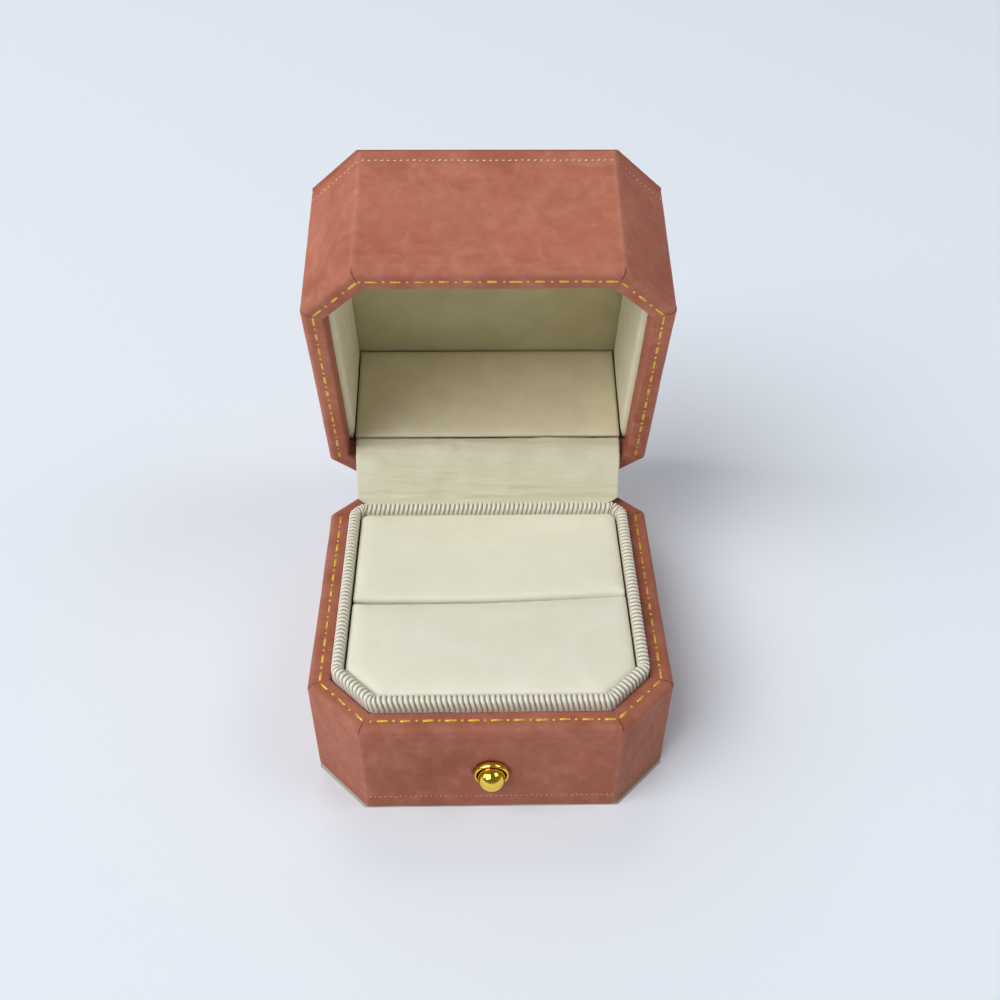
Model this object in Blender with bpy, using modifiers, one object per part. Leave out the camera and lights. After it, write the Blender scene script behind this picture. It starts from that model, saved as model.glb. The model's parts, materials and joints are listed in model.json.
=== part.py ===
"""Octagonal leather jewellery case for one ring, standing open on its hinge.

Metres, +Z up, the front with the push button towards -Y. The origin is the middle of the flat underside.
The case is a base and a lid, each a rigid board tray wrapped in leather, joined at the back by a steel
leaf hinge with a torsion spring. The lid's pieces are drawn shut and hang from an empty on the hinge's axis,
which tips them back to the open position. The button's pieces hang from an empty on the button's axis.
"""
import math

import bmesh
import bpy
from mathutils import Matrix, Vector

# Driving dimensions
WIDTH = 0.065               # square plan, over the leather
CORNER_CUT = 0.00975        # leg of each cut corner
BASE_HEIGHT = 0.0232        # underside to the base's rim
LID_HEIGHT = 0.0298         # the lid's rim to its top
GAP = 0.0003                # between pieces that touch
OPEN_ANGLE = math.radians(73.4)

# Sheet thicknesses
LEATHER = 0.0009
BOARD = 0.0016              # tray walls and the base's floor
LID_TOP_BOARD = 0.0010
PANEL = 0.0008              # closing panels under the base and on the lid
LINING = 0.0021             # padded lining boards round the lid's walls
REAR_LINING = 0.0012
TOP_LINING = 0.0008
COLLAR_BOARD = 0.0013
CARD = 0.0010
VELVET = 0.0006
SATIN = 0.0005
STEEL = 0.0005

# Places that follow from them
HALF = WIDTH / 2
RIM = 2 * LEATHER + 2 * GAP + BOARD                 # width of the leather-covered rim
TURN_IN = 0.0043                                    # leather turned down inside the rim
RIM_ROUND = 0.00105
LID_RIM_Z = BASE_HEIGHT + GAP
LID_TOP_Z = LID_RIM_Z + LID_HEIGHT
BOARD_INSET = LEATHER + GAP
CAVITY_INSET = BOARD_INSET + BOARD
BASE_FLOOR_Z = PANEL + GAP                          # underside of the base board
BASE_INSIDE_Z = BASE_FLOOR_Z + BOARD + GAP          # what stands on the floor starts here
PANEL_CORNER_CUT = 0.0094

# Hinge
HINGE_Y = 0.0316
HINGE_Z = (BASE_HEIGHT + LID_RIM_Z) / 2
BARREL_RADIUS = 0.0009
BARREL_BORE = 0.0005
PIN_RADIUS = 0.0004
BARREL_HALF = 0.018
BASE_KNUCKLES = ((-0.0180, -0.0122), (-0.0058, -0.0024), (0.0024, 0.0058), (0.0122, 0.0180))
LID_KNUCKLES = ((-0.0119, -0.0061), (0.0061, 0.0119))
LEAF_FACE_Y = HALF - LEATHER - GAP                  # outer face of a leaf, just inside the leather
LEAF_START = 0.00135                                # from the axis to the leaf's plate
LEAF_LENGTH = 0.0075
RIVET_X = 0.012
RIVET_DROP = 0.00685                                # from the axis to the rivets
RIVET_RADIUS = 0.0006
RIVET_HOLE = RIVET_RADIUS + GAP
SPRING_WIRE = 0.00015
SPRING_RADIUS = 0.00066
SPRING_HALF = 0.0016
SPRING_TURNS = 5
SPRING_LEG = 0.0054
SPRING_SLOT_HALF = 0.0005   # of the slot in each leaf for the spring's leg
RIVET_HEAD_RADIUS = 0.0013
RIVET_HEAD_HEIGHT = 0.0006
NOTCH = 1.2 * BARREL_RADIUS + GAP / 2               # room for the barrel in the rims' leather

# Collar, ribbed edging and ring pads
COLLAR_INSET = RIM + GAP
COLLAR_REAR = 0.0231
COLLAR_TOP_Z = BASE_HEIGHT - 2 * GAP
EDGING_WIDTH = 0.0019
EDGING_TOP_Z = 0.0258
PAD_INSET = COLLAR_INSET + EDGING_WIDTH + GAP
PAD_TOP_Z = 0.0249
PAD_ROUND = 0.0016
SLOT_Y = -0.0027
SLOT_HALF = 0.0003

# Lid lining
LINING_LOW_Z = LID_RIM_Z + TURN_IN + GAP
LINING_HIGH_Z = LID_TOP_Z - PANEL - GAP - LID_TOP_BOARD - 2 * GAP - TOP_LINING
LINING_INSET = CAVITY_INSET + GAP
REAR_LINING_Y = 0.0195
REAR_LINING_Z = LINING_LOW_Z - 0.0006

# Satin strip over the hinge
STRIP_HALF = 0.0270
STRIP_TUCKED_HALF = 0.0250  # where it is tucked between the collar and the rim
STRIP_LOW_Z = 0.0130
SATIN_RISE = 0.0014         # straight up past the base's rim before it curves back
STRIP_BELLY_Y = 0.0266      # the strip's curve is drawn to these two points on its way up
STRIP_BELLY_Z = (0.0276, 0.0354)

# Push button and its magnetic catch; stand-offs are outwards from the front wall
BUTTON_Z = 0.0111
BUTTON_TRAVEL = 0.0010
BALL_RADIUS = 0.00235
BALL_STAND_OFF = 0.0013
STEM_RADIUS = 0.0010
STEM_BORE = STEM_RADIUS + 0.0001
STEM_TIP_RADIUS = 0.0006    # its thin end, which passes through the slide
CUP_RADIUS = 0.00255        # the escutcheon's inside, round the ball
CUP_OUTER_RADIUS = 0.0028
LIP_RADIUS = 0.0032
LIP_CREST = 0.00055
CUP_FLOOR = BALL_STAND_OFF - BALL_RADIUS - BUTTON_TRAVEL - GAP
BUTTON_HOLE = CUP_OUTER_RADIUS + GAP
SLIDE_HALF = 0.0045
SLIDE_THICKNESS = 0.0009
SLIDE_FRONT_Y = -HALF + CAVITY_INSET + GAP
SLIDE_BACK_Y = SLIDE_FRONT_Y + SLIDE_THICKNESS
SLIDE_TOP_Z = 0.0219
SLIDE_LOW_Z = 0.0086
MAGNET_RADIUS = 0.0020
MAGNET_Z = 0.0194
WINDOW_HALF = 0.0065        # of the opening in the collar behind the slide
BOW_THICKNESS = 0.0003      # leaf spring behind the slide
BOW_HALF = 0.0080
BOW_CURVE_HALF = 0.0062     # its curve starts here
BOW_FLAT_HALF = 0.0024      # and is flat in the middle
BOW_LOW_Z = 0.0092
BOW_HIGH_Z = 0.0128
KEEPER_HALF = 0.0050
KEEPER_FRONT_Y = -0.0306
KEEPER_THICKNESS = 0.0006
KEEPER_LOW_Z = 0.0250
KEEPER_HIGH_Z = 0.0292


# ---------------------------------------------------------------- scene and materials

def clear_scene():
    for obj in list(bpy.data.objects):
        bpy.data.objects.remove(obj, do_unlink=True)


def new_collection(name):
    collection = bpy.data.collections.new(name)
    bpy.context.scene.collection.children.link(collection)
    return collection


def material(name, colour, roughness, metallic=0.0):
    mat = bpy.data.materials.new(name)
    mat.use_nodes = True
    shader = mat.node_tree.nodes["Principled BSDF"]
    shader.inputs["Base Color"].default_value = (*colour, 1.0)
    shader.inputs["Roughness"].default_value = roughness
    shader.inputs["Metallic"].default_value = metallic
    return mat


clear_scene()
CASE = new_collection("jewellery_case")
CUTTERS = new_collection("cutters")
NUBUCK = material("nubuck", (0.42, 0.16, 0.11), 0.8)
GREY_PAPER = material("grey_paper", (0.45, 0.42, 0.38), 0.9)
GREY_BOARD = material("grey_board", (0.35, 0.32, 0.28), 0.95)
RIBBED_SATIN = material("ribbed_satin", (0.74, 0.72, 0.62), 0.4)
VELVET_CREAM = material("cream_velvet", (0.72, 0.70, 0.57), 0.95)
FOAM_WHITE = material("foam", (0.8, 0.8, 0.76), 0.95)
SATIN_CREAM = material("cream_satin", (0.62, 0.58, 0.44), 0.45)
GOLD = material("gold_plate", (0.80, 0.58, 0.18), 0.12, 1.0)
STEEL_GREY = material("steel", (0.56, 0.56, 0.57), 0.35, 1.0)
MAGNET_GREY = material("magnet", (0.45, 0.45, 0.47), 0.25, 1.0)


# ---------------------------------------------------------------- outlines

def cut_leg(inset, leg=CORNER_CUT):
    """Leg of the cut corner on an outline drawn parallel to the outside, inset from it."""
    return leg - inset * (2 - math.sqrt(2))


def octagon(inset, leg=CORNER_CUT):
    """Corners of the case's outline, anticlockwise from the front-left."""
    far = HALF - inset
    near = far - cut_leg(inset, leg)
    front = [(-near, -far), (near, -far), (far, -near)]
    rear = [(far, near), (near, far), (-near, far), (-far, near)]
    return front + rear + [(-far, -near)]


def collar_outline(inset):
    """The octagon cut off straight at the collar's rear wall, which follows the inset."""
    far = HALF - inset
    near = far - cut_leg(inset)
    rear = COLLAR_REAR - (inset - COLLAR_INSET)
    narrow = far - (rear - near)
    corners = octagon(inset)
    corners[4:6] = [(narrow, rear), (-narrow, rear)]
    return corners


def rectangle(low, high):
    return [(low[0], low[1]), (high[0], low[1]), (high[0], high[1]), (low[0], high[1])]


# ---------------------------------------------------------------- shapes

def place(name, mesh, mat, parent=None):
    """Link a sub-part, hanging it from its joint's empty if it moves."""
    obj = bpy.data.objects.new(name, mesh)
    obj.data.materials.append(mat)
    CASE.objects.link(obj)
    if parent:
        obj.parent = parent
        obj.matrix_parent_inverse = Matrix.Translation(-Vector(parent["home"]))
    return obj


def as_mesh(name, bm):
    mesh = bpy.data.meshes.new(name)
    bm.to_mesh(mesh)
    bm.free()
    return mesh


def prism_mesh(name, outline, height):
    """A flat outline drawn out upwards from z = 0."""
    bm = bmesh.new()
    face = bm.faces.new([bm.verts.new((x, y, 0)) for x, y in outline])
    drawn = bmesh.ops.extrude_face_region(bm, geom=[face])
    tops = [item for item in drawn["geom"] if isinstance(item, bmesh.types.BMVert)]
    bmesh.ops.translate(bm, verts=tops, vec=(0, 0, height))
    bmesh.ops.recalc_face_normals(bm, faces=bm.faces)
    return as_mesh(name, bm)


def prism(name, outline, low, high, mat, parent=None):
    obj = place(name, prism_mesh(name, outline, high - low), mat, parent)
    obj.location.z = low
    return obj


def block(name, low, high, mat, parent=None):
    return prism(name, rectangle(low, high), low[2], high[2], mat, parent)


def loft_mesh(name, rows, closed=False):
    """A surface through rows of outline corners; closed joins the last row to the first."""
    bm = bmesh.new()
    rings = [[bm.verts.new((x, y, z)) for x, y in outline] for outline, z in rows]
    pairs = list(zip(rings, rings[1:]))
    if closed:
        pairs.append((rings[-1], rings[0]))
    for lower, upper in pairs:
        for i in range(len(lower)):
            j = (i + 1) % len(lower)
            bm.faces.new((lower[i], lower[j], upper[j], upper[i]))
    return as_mesh(name, bm)


def turned_mesh(name, profile, closed=False):
    """An open or closed (radius, height) profile for a Screw about Z."""
    bm = bmesh.new()
    verts = [bm.verts.new((radius, 0, height)) for radius, height in profile]
    for a, b in zip(verts, verts[1:]):
        bm.edges.new((a, b))
    if closed:
        bm.edges.new((verts[-1], verts[0]))
    return as_mesh(name, bm)


def turn(obj, steps):
    screw = obj.modifiers.new("turn", "SCREW")
    screw.steps = screw.render_steps = steps
    screw.use_merge_vertices = True
    screw.merge_threshold = 0.000001


def solidify(obj, thickness, offset=-1.0):
    shell = obj.modifiers.new("thickness", "SOLIDIFY")
    shell.thickness = thickness
    shell.offset = offset
    shell.use_even_offset = True


def bevel(obj, width, segments, angle=60):
    edge = obj.modifiers.new("rounding", "BEVEL")
    edge.width = width
    edge.segments = segments
    edge.limit_method = "ANGLE"
    edge.angle_limit = math.radians(angle)


def combine(obj, other, operation):
    boolean = obj.modifiers.new(operation.lower(), "BOOLEAN")
    boolean.operation = operation
    boolean.object = other
    boolean.solver = "EXACT"


def as_cutter(name, mesh, location=(0, 0, 0), rotation=(0, 0, 0), parent=None):
    cutter = bpy.data.objects.new(name, mesh)
    cutter.location = location
    cutter.rotation_euler = rotation
    cutter.display_type = "WIRE"
    cutter.hide_render = True
    CUTTERS.objects.link(cutter)
    if parent:
        cutter.parent = parent
        cutter.matrix_parent_inverse = Matrix.Translation(-Vector(parent["home"]))
    return cutter


def cut_block(obj, low, high):
    mesh = prism_mesh(obj.name + "_cut", rectangle(low, high), high[2] - low[2])
    combine(obj, as_cutter(obj.name + "_cut", mesh, (0, 0, low[2]), parent=obj.parent), "DIFFERENCE")


def cylinder_mesh(name, radius, length, sides=24):
    bm = bmesh.new()
    bmesh.ops.create_cone(bm, cap_ends=True, segments=sides, radius1=radius, radius2=radius, depth=length)
    return as_mesh(name, bm)


def cut_hole(obj, radius, centre, length):
    """A round hole along Y."""
    mesh = cylinder_mesh(obj.name + "_hole", radius, length)
    turned = (math.pi / 2, 0, 0)
    combine(obj, as_cutter(obj.name + "_hole", mesh, centre, turned, obj.parent), "DIFFERENCE")


def smooth(obj, angle=40):
    obj.data.shade_smooth()
    obj.data.set_sharp_from_angle(angle=math.radians(angle))


def joint_empty(name, home, tilt=0.0):
    empty = bpy.data.objects.new(name, None)
    empty.location = home
    empty.rotation_euler.x = tilt
    empty["home"] = home
    CASE.objects.link(empty)
    return empty


LID = joint_empty("lid_pivot", (0, HINGE_Y, HINGE_Z), -OPEN_ANGLE)
BUTTON = joint_empty("button_axis", (0, -HALF, BUTTON_Z))


def tipped_back(y, z):
    """Where a point of the shut lid stands when the lid is open."""
    dy, dz = y - HINGE_Y, z - HINGE_Z
    c, s = math.cos(OPEN_ANGLE), math.sin(OPEN_ANGLE)
    return HINGE_Y + c * dy + s * dz, HINGE_Z - s * dy + c * dz


# ---------------------------------------------------------------- trays and leather

def tray(name, low, high, cavity_low, cavity_high, parent=None):
    obj = prism(name, octagon(BOARD_INSET), low, high, GREY_BOARD, parent)
    mesh = prism_mesh(name + "_cavity", octagon(CAVITY_INSET), cavity_high - cavity_low)
    combine(obj, as_cutter(name + "_cavity", mesh, (0, 0, cavity_low), parent=parent), "DIFFERENCE")
    return obj


def cut_leaf_pocket(obj, low, high):
    """The recess in a rear wall that a hinge leaf lies in."""
    reach = BARREL_HALF + GAP
    cut_block(obj, (-reach, LEAF_FACE_Y - STEEL - GAP, low), (reach, HALF, high))


def base_frame():
    top = BASE_HEIGHT - LEATHER - GAP
    obj = tray("base_frame", BASE_FLOOR_Z, top, BASE_FLOOR_Z + BOARD, BASE_HEIGHT)
    cut_hole(obj, BUTTON_HOLE, (0, -HALF + CAVITY_INSET, BUTTON_Z), 3 * BOARD)
    pocket_low = HINGE_Z - LEAF_START - LEAF_LENGTH - GAP
    cut_leaf_pocket(obj, pocket_low, BASE_HEIGHT)
    for side in (-1, 1):
        cut_hole(obj, RIVET_HOLE, (side * RIVET_X, HALF - CAVITY_INSET, HINGE_Z - RIVET_DROP), 3 * BOARD)


def lid_frame():
    low = LID_RIM_Z + LEATHER + GAP
    high = LID_TOP_Z - PANEL - GAP
    obj = tray("lid_frame", low, high, LID_RIM_Z, high - LID_TOP_BOARD, LID)
    pocket_high = HINGE_Z + LEAF_START + LEAF_LENGTH + GAP
    cut_leaf_pocket(obj, LID_RIM_Z, pocket_high)
    for side in (-1, 1):
        cut_hole(obj, RIVET_HOLE, (side * RIVET_X, HALF - CAVITY_INSET, HINGE_Z + RIVET_DROP), 3 * BOARD)
    cut_block(
        obj,
        (-KEEPER_HALF - GAP, KEEPER_FRONT_Y - GAP, LID_RIM_Z),
        (KEEPER_HALF + GAP, -HALF + CAVITY_INSET + BOARD, KEEPER_HIGH_Z + GAP),
    )


def leather_wrap(name, rows, parent=None):
    """Leather up one side of the wall, over the rim and down the other, its rim edges softly rounded."""
    mesh = loft_mesh(name, [(octagon(inset), z) for inset, z in rows])
    obj = place(name, mesh, NUBUCK, parent)
    bevel(obj, RIM_ROUND, 3)
    solidify(obj, LEATHER)
    smooth(obj)
    reach = BARREL_HALF + 3 * GAP
    cut_block(obj, (-reach, HINGE_Y - NOTCH, HINGE_Z - NOTCH), (reach, HALF + GAP, HINGE_Z + NOTCH))
    return obj


def base_leather():
    rows = [(0, BASE_FLOOR_Z), (0, BASE_HEIGHT), (RIM, BASE_HEIGHT), (RIM, BASE_HEIGHT - TURN_IN)]
    obj = leather_wrap("base_leather", rows)
    cut_hole(obj, BUTTON_HOLE, (0, -HALF, BUTTON_Z), 4 * LEATHER)
    clear_of_slide = BASE_HEIGHT - LEATHER - GAP / 3
    cut_block(
        obj,
        (-SLIDE_HALF - GAP, SLIDE_FRONT_Y - GAP, SLIDE_LOW_Z),
        (SLIDE_HALF + GAP, -HALF + RIM + GAP, clear_of_slide),
    )


def lid_leather():
    top = LID_TOP_Z - PANEL - GAP
    rows = [(RIM, LID_RIM_Z + TURN_IN), (RIM, LID_RIM_Z), (0, LID_RIM_Z), (0, top)]
    leather_wrap("lid_leather", rows, LID)


def closing_panels():
    outline = octagon(0, PANEL_CORNER_CUT)
    prism("base_bottom_panel", outline, 0, PANEL, GREY_PAPER)
    prism("lid_top_panel", outline, LID_TOP_Z - PANEL, LID_TOP_Z, NUBUCK, LID)


# ---------------------------------------------------------------- collar, edging and ring pads

def collar_wall():
    inner = COLLAR_INSET + COLLAR_BOARD
    rows = [
        (collar_outline(COLLAR_INSET), BASE_INSIDE_Z),
        (collar_outline(COLLAR_INSET), COLLAR_TOP_Z),
        (collar_outline(inner), COLLAR_TOP_Z),
        (collar_outline(inner), BASE_INSIDE_Z),
    ]
    obj = place("collar_wall", loft_mesh("collar_wall", rows, closed=True), GREY_BOARD)
    low_z = SLIDE_LOW_Z - 3 * GAP
    front = -HALF + COLLAR_INSET - GAP
    cut_block(obj, (-WINDOW_HALF, front, low_z), (WINDOW_HALF, -HALF + inner + GAP, BASE_HEIGHT))


def collar_edging():
    """The ribbed satin edging on the collar: straight sides under a rounded top."""
    low = COLLAR_TOP_Z + GAP
    half = EDGING_WIDTH / 2
    shoulder = EDGING_TOP_Z - half
    rows = [(collar_outline(COLLAR_INSET), low)]
    for step in range(7):
        angle = math.pi * step / 6
        inset = COLLAR_INSET + half - half * math.cos(angle)
        rows.append((collar_outline(inset), shoulder + half * math.sin(angle)))
    rows.append((collar_outline(COLLAR_INSET + EDGING_WIDTH), low))
    obj = place("collar_edging", loft_mesh("collar_edging", rows, closed=True), RIBBED_SATIN)
    smooth(obj)


def front_pad_outline(inset):
    corners = octagon(inset)
    far = HALF - inset
    rear = SLOT_Y - SLOT_HALF - (inset - PAD_INSET)
    return [corners[7], corners[0], corners[1], corners[2], (far, rear), (-far, rear)]


def rear_pad_outline(inset):
    corners = collar_outline(inset)
    far = HALF - inset
    front = SLOT_Y + SLOT_HALF + (inset - PAD_INSET)
    return [(-far, front), (far, front), corners[3], corners[4], corners[5], corners[6]]


def ring_pad(side, outline):
    """A foam block in a velvet cover that is open underneath."""
    low = BASE_INSIDE_Z + CARD + GAP
    cover_mesh = prism_mesh(side + "_pad_cover", outline(PAD_INSET), PAD_TOP_Z - low)
    bm = bmesh.new()
    bm.from_mesh(cover_mesh)
    underside = [face for face in bm.faces if face.normal.z < -0.5]
    bmesh.ops.delete(bm, geom=underside, context="FACES")
    bm.to_mesh(cover_mesh)
    bm.free()
    cover = place(side + "_pad_cover", cover_mesh, VELVET_CREAM)
    cover.location.z = low
    bevel(cover, PAD_ROUND, 3)
    solidify(cover, VELVET)
    smooth(cover)
    inset = PAD_INSET + VELVET + GAP
    foam_top = PAD_TOP_Z - VELVET - GAP
    foam = prism(side + "_pad_foam", outline(inset), low, foam_top, FOAM_WHITE)
    bevel(foam, PAD_ROUND - VELVET, 2)


def ring_insert():
    outline = collar_outline(COLLAR_INSET + COLLAR_BOARD + GAP)
    prism("insert_card", outline, BASE_INSIDE_Z, BASE_INSIDE_Z + CARD, GREY_BOARD)
    ring_pad("front", front_pad_outline)
    ring_pad("rear", rear_pad_outline)


# ---------------------------------------------------------------- lid lining

def lining_board(name, start, end):
    """A padded board along one side of the lid's octagon, its ends mitred."""
    outer, inner = octagon(LINING_INSET), octagon(LINING_INSET + LINING)
    along = (Vector(outer[end]) - Vector(outer[start])).normalized() * GAP / 2
    corners = [Vector(outer[start]) + along, Vector(outer[end]) - along]
    corners += [Vector(inner[end]) - along, Vector(inner[start]) + along]
    prism(name, [tuple(corner) for corner in corners], LINING_LOW_Z, LINING_HIGH_Z, SATIN_CREAM, LID)


def side_lining(name, side):
    outer, inner = octagon(LINING_INSET)[2], octagon(LINING_INSET + LINING)[2]
    rear = REAR_LINING_Y + REAR_LINING
    corners = [(outer[0], outer[1] + GAP / 2), (outer[0], rear)]
    corners += [(inner[0], rear), (inner[0], inner[1] + GAP / 2)]
    if side < 0:
        corners = [(-x, y) for x, y in reversed(corners)]
    prism(name, corners, LINING_LOW_Z, LINING_HIGH_Z, SATIN_CREAM, LID)


def lid_lining():
    lining_board("lid_lining_front", 0, 1)
    lining_board("lid_lining_front_right", 1, 2)
    lining_board("lid_lining_front_left", 7, 0)
    side_lining("lid_lining_right", 1)
    side_lining("lid_lining_left", -1)
    reach = HALF - LINING_INSET - LINING - GAP
    block(
        "lid_lining_rear",
        (-reach, REAR_LINING_Y, REAR_LINING_Z),
        (reach, REAR_LINING_Y + REAR_LINING, LINING_HIGH_Z),
        SATIN_CREAM,
        LID,
    )
    top_low = LINING_HIGH_Z + GAP
    prism("lid_lining_top", octagon(LINING_INSET), top_low, top_low + TOP_LINING, VELVET_CREAM, LID)


# ---------------------------------------------------------------- satin strip over the hinge

def cubic(controls, t):
    """A point on a Bezier curve."""
    weights = ((1 - t) ** 3, 3 * t * (1 - t) ** 2, 3 * t * t * (1 - t), t ** 3)
    return tuple(sum(weight * point[axis] for weight, point in zip(weights, controls)) for axis in (0, 1))


def satin_hinge_strip():
    """Satin that covers the hinge: tucked behind the collar, over its edge and up to the rear lining."""
    start_y = COLLAR_REAR + GAP + SATIN / 2
    end = tipped_back(REAR_LINING_Y + REAR_LINING / 2, REAR_LINING_Z - GAP - SATIN / 2)
    bends = [(start_y, BASE_HEIGHT + SATIN_RISE), *((STRIP_BELLY_Y, z) for z in STRIP_BELLY_Z), end]
    rows = [(start_y, STRIP_LOW_Z, STRIP_TUCKED_HALF), (start_y, BASE_HEIGHT - GAP, STRIP_TUCKED_HALF)]
    rows.append((start_y, BASE_HEIGHT + 2 * GAP, STRIP_HALF))
    steps = 10
    for step in range(steps + 1):
        y, z = cubic(bends, step / steps)
        rows.append((y, z, STRIP_HALF))
    bm = bmesh.new()
    pairs = [(bm.verts.new((-half, y, z)), bm.verts.new((half, y, z))) for y, z, half in rows]
    for (left, right), (next_left, next_right) in zip(pairs, pairs[1:]):
        bm.faces.new((left, right, next_right, next_left))
    obj = place("satin_hinge_strip", as_mesh("satin_hinge_strip", bm), SATIN_CREAM)
    solidify(obj, SATIN, 0.0)
    smooth(obj)


# ---------------------------------------------------------------- hinge

def hinge_leaf(name, knuckles, direction, slot_x, parent=None):
    """A leaf down (direction -1) or up (1) from the axis, with knuckles and a slot for the spring's leg."""
    near = HINGE_Z + direction * LEAF_START
    far = near + direction * LEAF_LENGTH
    inner_y = LEAF_FACE_Y - STEEL
    low, high = sorted((near, far))
    obj = block(name, (-BARREL_HALF, inner_y, low), (BARREL_HALF, LEAF_FACE_Y, high), STEEL_GREY, parent)
    web_low, web_high = sorted((HINGE_Z + direction * BARREL_RADIUS / 2, near + direction * GAP))
    for index, (start, end) in enumerate(knuckles):
        web_name, knuckle_name = f"{name}_web_{index}", f"{name}_knuckle_{index}"
        web_mesh = prism_mesh(web_name, rectangle((start, inner_y), (end, LEAF_FACE_Y)), web_high - web_low)
        combine(obj, as_cutter(web_name, web_mesh, (0, 0, web_low), parent=parent), "UNION")
        centre, lying = ((start + end) / 2, HINGE_Y, HINGE_Z), (0, math.pi / 2, 0)
        knuckle = as_cutter(knuckle_name, knuckle_mesh(knuckle_name, end - start), centre, lying, parent)
        combine(obj, knuckle, "UNION")
    slot_low, slot_high = sorted((HINGE_Z + direction * (SPRING_LEG + GAP), near - direction * GAP))
    slot_start, slot_end = slot_x - SPRING_SLOT_HALF, slot_x + SPRING_SLOT_HALF
    cut_block(obj, (slot_start, inner_y - GAP, slot_low), (slot_end, LEAF_FACE_Y + GAP, slot_high))
    for side in (-1, 1):
        centre = (side * RIVET_X, LEAF_FACE_Y - STEEL / 2, HINGE_Z + direction * RIVET_DROP)
        cut_hole(obj, RIVET_HOLE, centre, 4 * STEEL)


def knuckle_mesh(name, length):
    """A tube about Z, turned from its rectangular section."""
    half = length / 2
    section = [(BARREL_RADIUS, half), (BARREL_RADIUS, -half), (BARREL_BORE, -half), (BARREL_BORE, half)]
    bm = bmesh.new()
    verts = [bm.verts.new((radius, 0, height)) for radius, height in section]
    edges = [bm.edges.new((verts[i], verts[(i + 1) % 4])) for i in range(4)]
    turned = {"cent": (0, 0, 0), "axis": (0, 0, 1), "angle": 2 * math.pi}
    bmesh.ops.spin(bm, geom=verts + edges, steps=20, use_merge=True, **turned)
    bmesh.ops.recalc_face_normals(bm, faces=bm.faces)
    return as_mesh(name, bm)


def rivet(name, side, direction, parent=None):
    """A flush rivet: its shank fills the leaf and the board, its head is inside the wall."""
    shank = LEAF_FACE_Y - (HALF - CAVITY_INSET - GAP)
    profile = [(0, shank), (RIVET_RADIUS, shank), (RIVET_RADIUS, 0), (RIVET_HEAD_RADIUS, 0)]
    profile += [(0.8 * RIVET_HEAD_RADIUS, -RIVET_HEAD_HEIGHT), (0, -RIVET_HEAD_HEIGHT)]
    obj = place(name, turned_mesh(name, profile), STEEL_GREY, parent)
    turn(obj, 16)
    obj.rotation_euler.x = -math.pi / 2
    obj.location = (side * RIVET_X, HALF - CAVITY_INSET - GAP, HINGE_Z + direction * RIVET_DROP)
    smooth(obj)


def hinge_pin():
    mesh = cylinder_mesh("hinge_pin", PIN_RADIUS, 2 * BARREL_HALF + 2 * GAP, 20)
    obj = place("hinge_pin", mesh, STEEL_GREY)
    obj.location = (0, HINGE_Y, HINGE_Z)
    obj.rotation_euler.y = math.pi / 2
    smooth(obj)


def hinge_spring():
    """A torsion spring round the pin: one leg down the base leaf, the other up the lid leaf."""
    per_turn = 12
    sweep = SPRING_TURNS * 2 * math.pi + OPEN_ANGLE
    steps = round(per_turn * sweep / (2 * math.pi))
    inner_y = HINGE_Y - SPRING_RADIUS
    points = [(-SPRING_HALF, inner_y, HINGE_Z - SPRING_LEG * (1 - k / 4)) for k in range(4)]
    for step in range(steps + 1):
        angle = math.pi - sweep * step / steps
        x = -SPRING_HALF + 2 * SPRING_HALF * step / steps
        y, z = HINGE_Y + SPRING_RADIUS * math.cos(angle), HINGE_Z + SPRING_RADIUS * math.sin(angle)
        points.append((x, y, z))
    for k in range(1, 5):
        points.append((SPRING_HALF, *tipped_back(inner_y, HINGE_Z + SPRING_LEG * k / 4)))
    curve = bpy.data.curves.new("hinge_spring", "CURVE")
    curve.dimensions = "3D"
    curve.bevel_depth = SPRING_WIRE
    curve.bevel_resolution = 2
    curve.use_fill_caps = True
    spline = curve.splines.new("POLY")
    spline.points.add(len(points) - 1)
    for point, place_at in zip(spline.points, points):
        point.co = (*place_at, 1)
    place("hinge_spring", curve, STEEL_GREY)


def hinge():
    hinge_leaf("base_hinge_leaf", BASE_KNUCKLES, -1, -SPRING_HALF)
    hinge_leaf("lid_hinge_leaf", LID_KNUCKLES, 1, SPRING_HALF, LID)
    for side, word in ((-1, "left"), (1, "right")):
        rivet("base_rivet_" + word, side, -1)
        rivet("lid_rivet_" + word, side, 1, LID)
    hinge_pin()
    hinge_spring()


# ---------------------------------------------------------------- push button and magnetic catch

def button_escutcheon():
    """A flanged cup through the front wall: the ball sinks into it and its floor guides the stem."""
    middle, half = (LIP_RADIUS + CUP_RADIUS) / 2, (LIP_RADIUS - CUP_RADIUS) / 2
    profile = []
    for step in range(7):
        angle = math.pi * (1 - step / 6)
        profile.append((middle + half * math.cos(angle), 2 * GAP + LIP_CREST * math.sin(angle)))
    profile += [(LIP_RADIUS, GAP), (CUP_OUTER_RADIUS, GAP), (CUP_OUTER_RADIUS, -CAVITY_INSET)]
    profile += [(STEM_BORE, -CAVITY_INSET), (STEM_BORE, CUP_FLOOR), (CUP_RADIUS, CUP_FLOOR)]
    mesh = turned_mesh("button_escutcheon", profile, closed=True)
    stand_on_front("button_escutcheon", mesh, 32)


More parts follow.
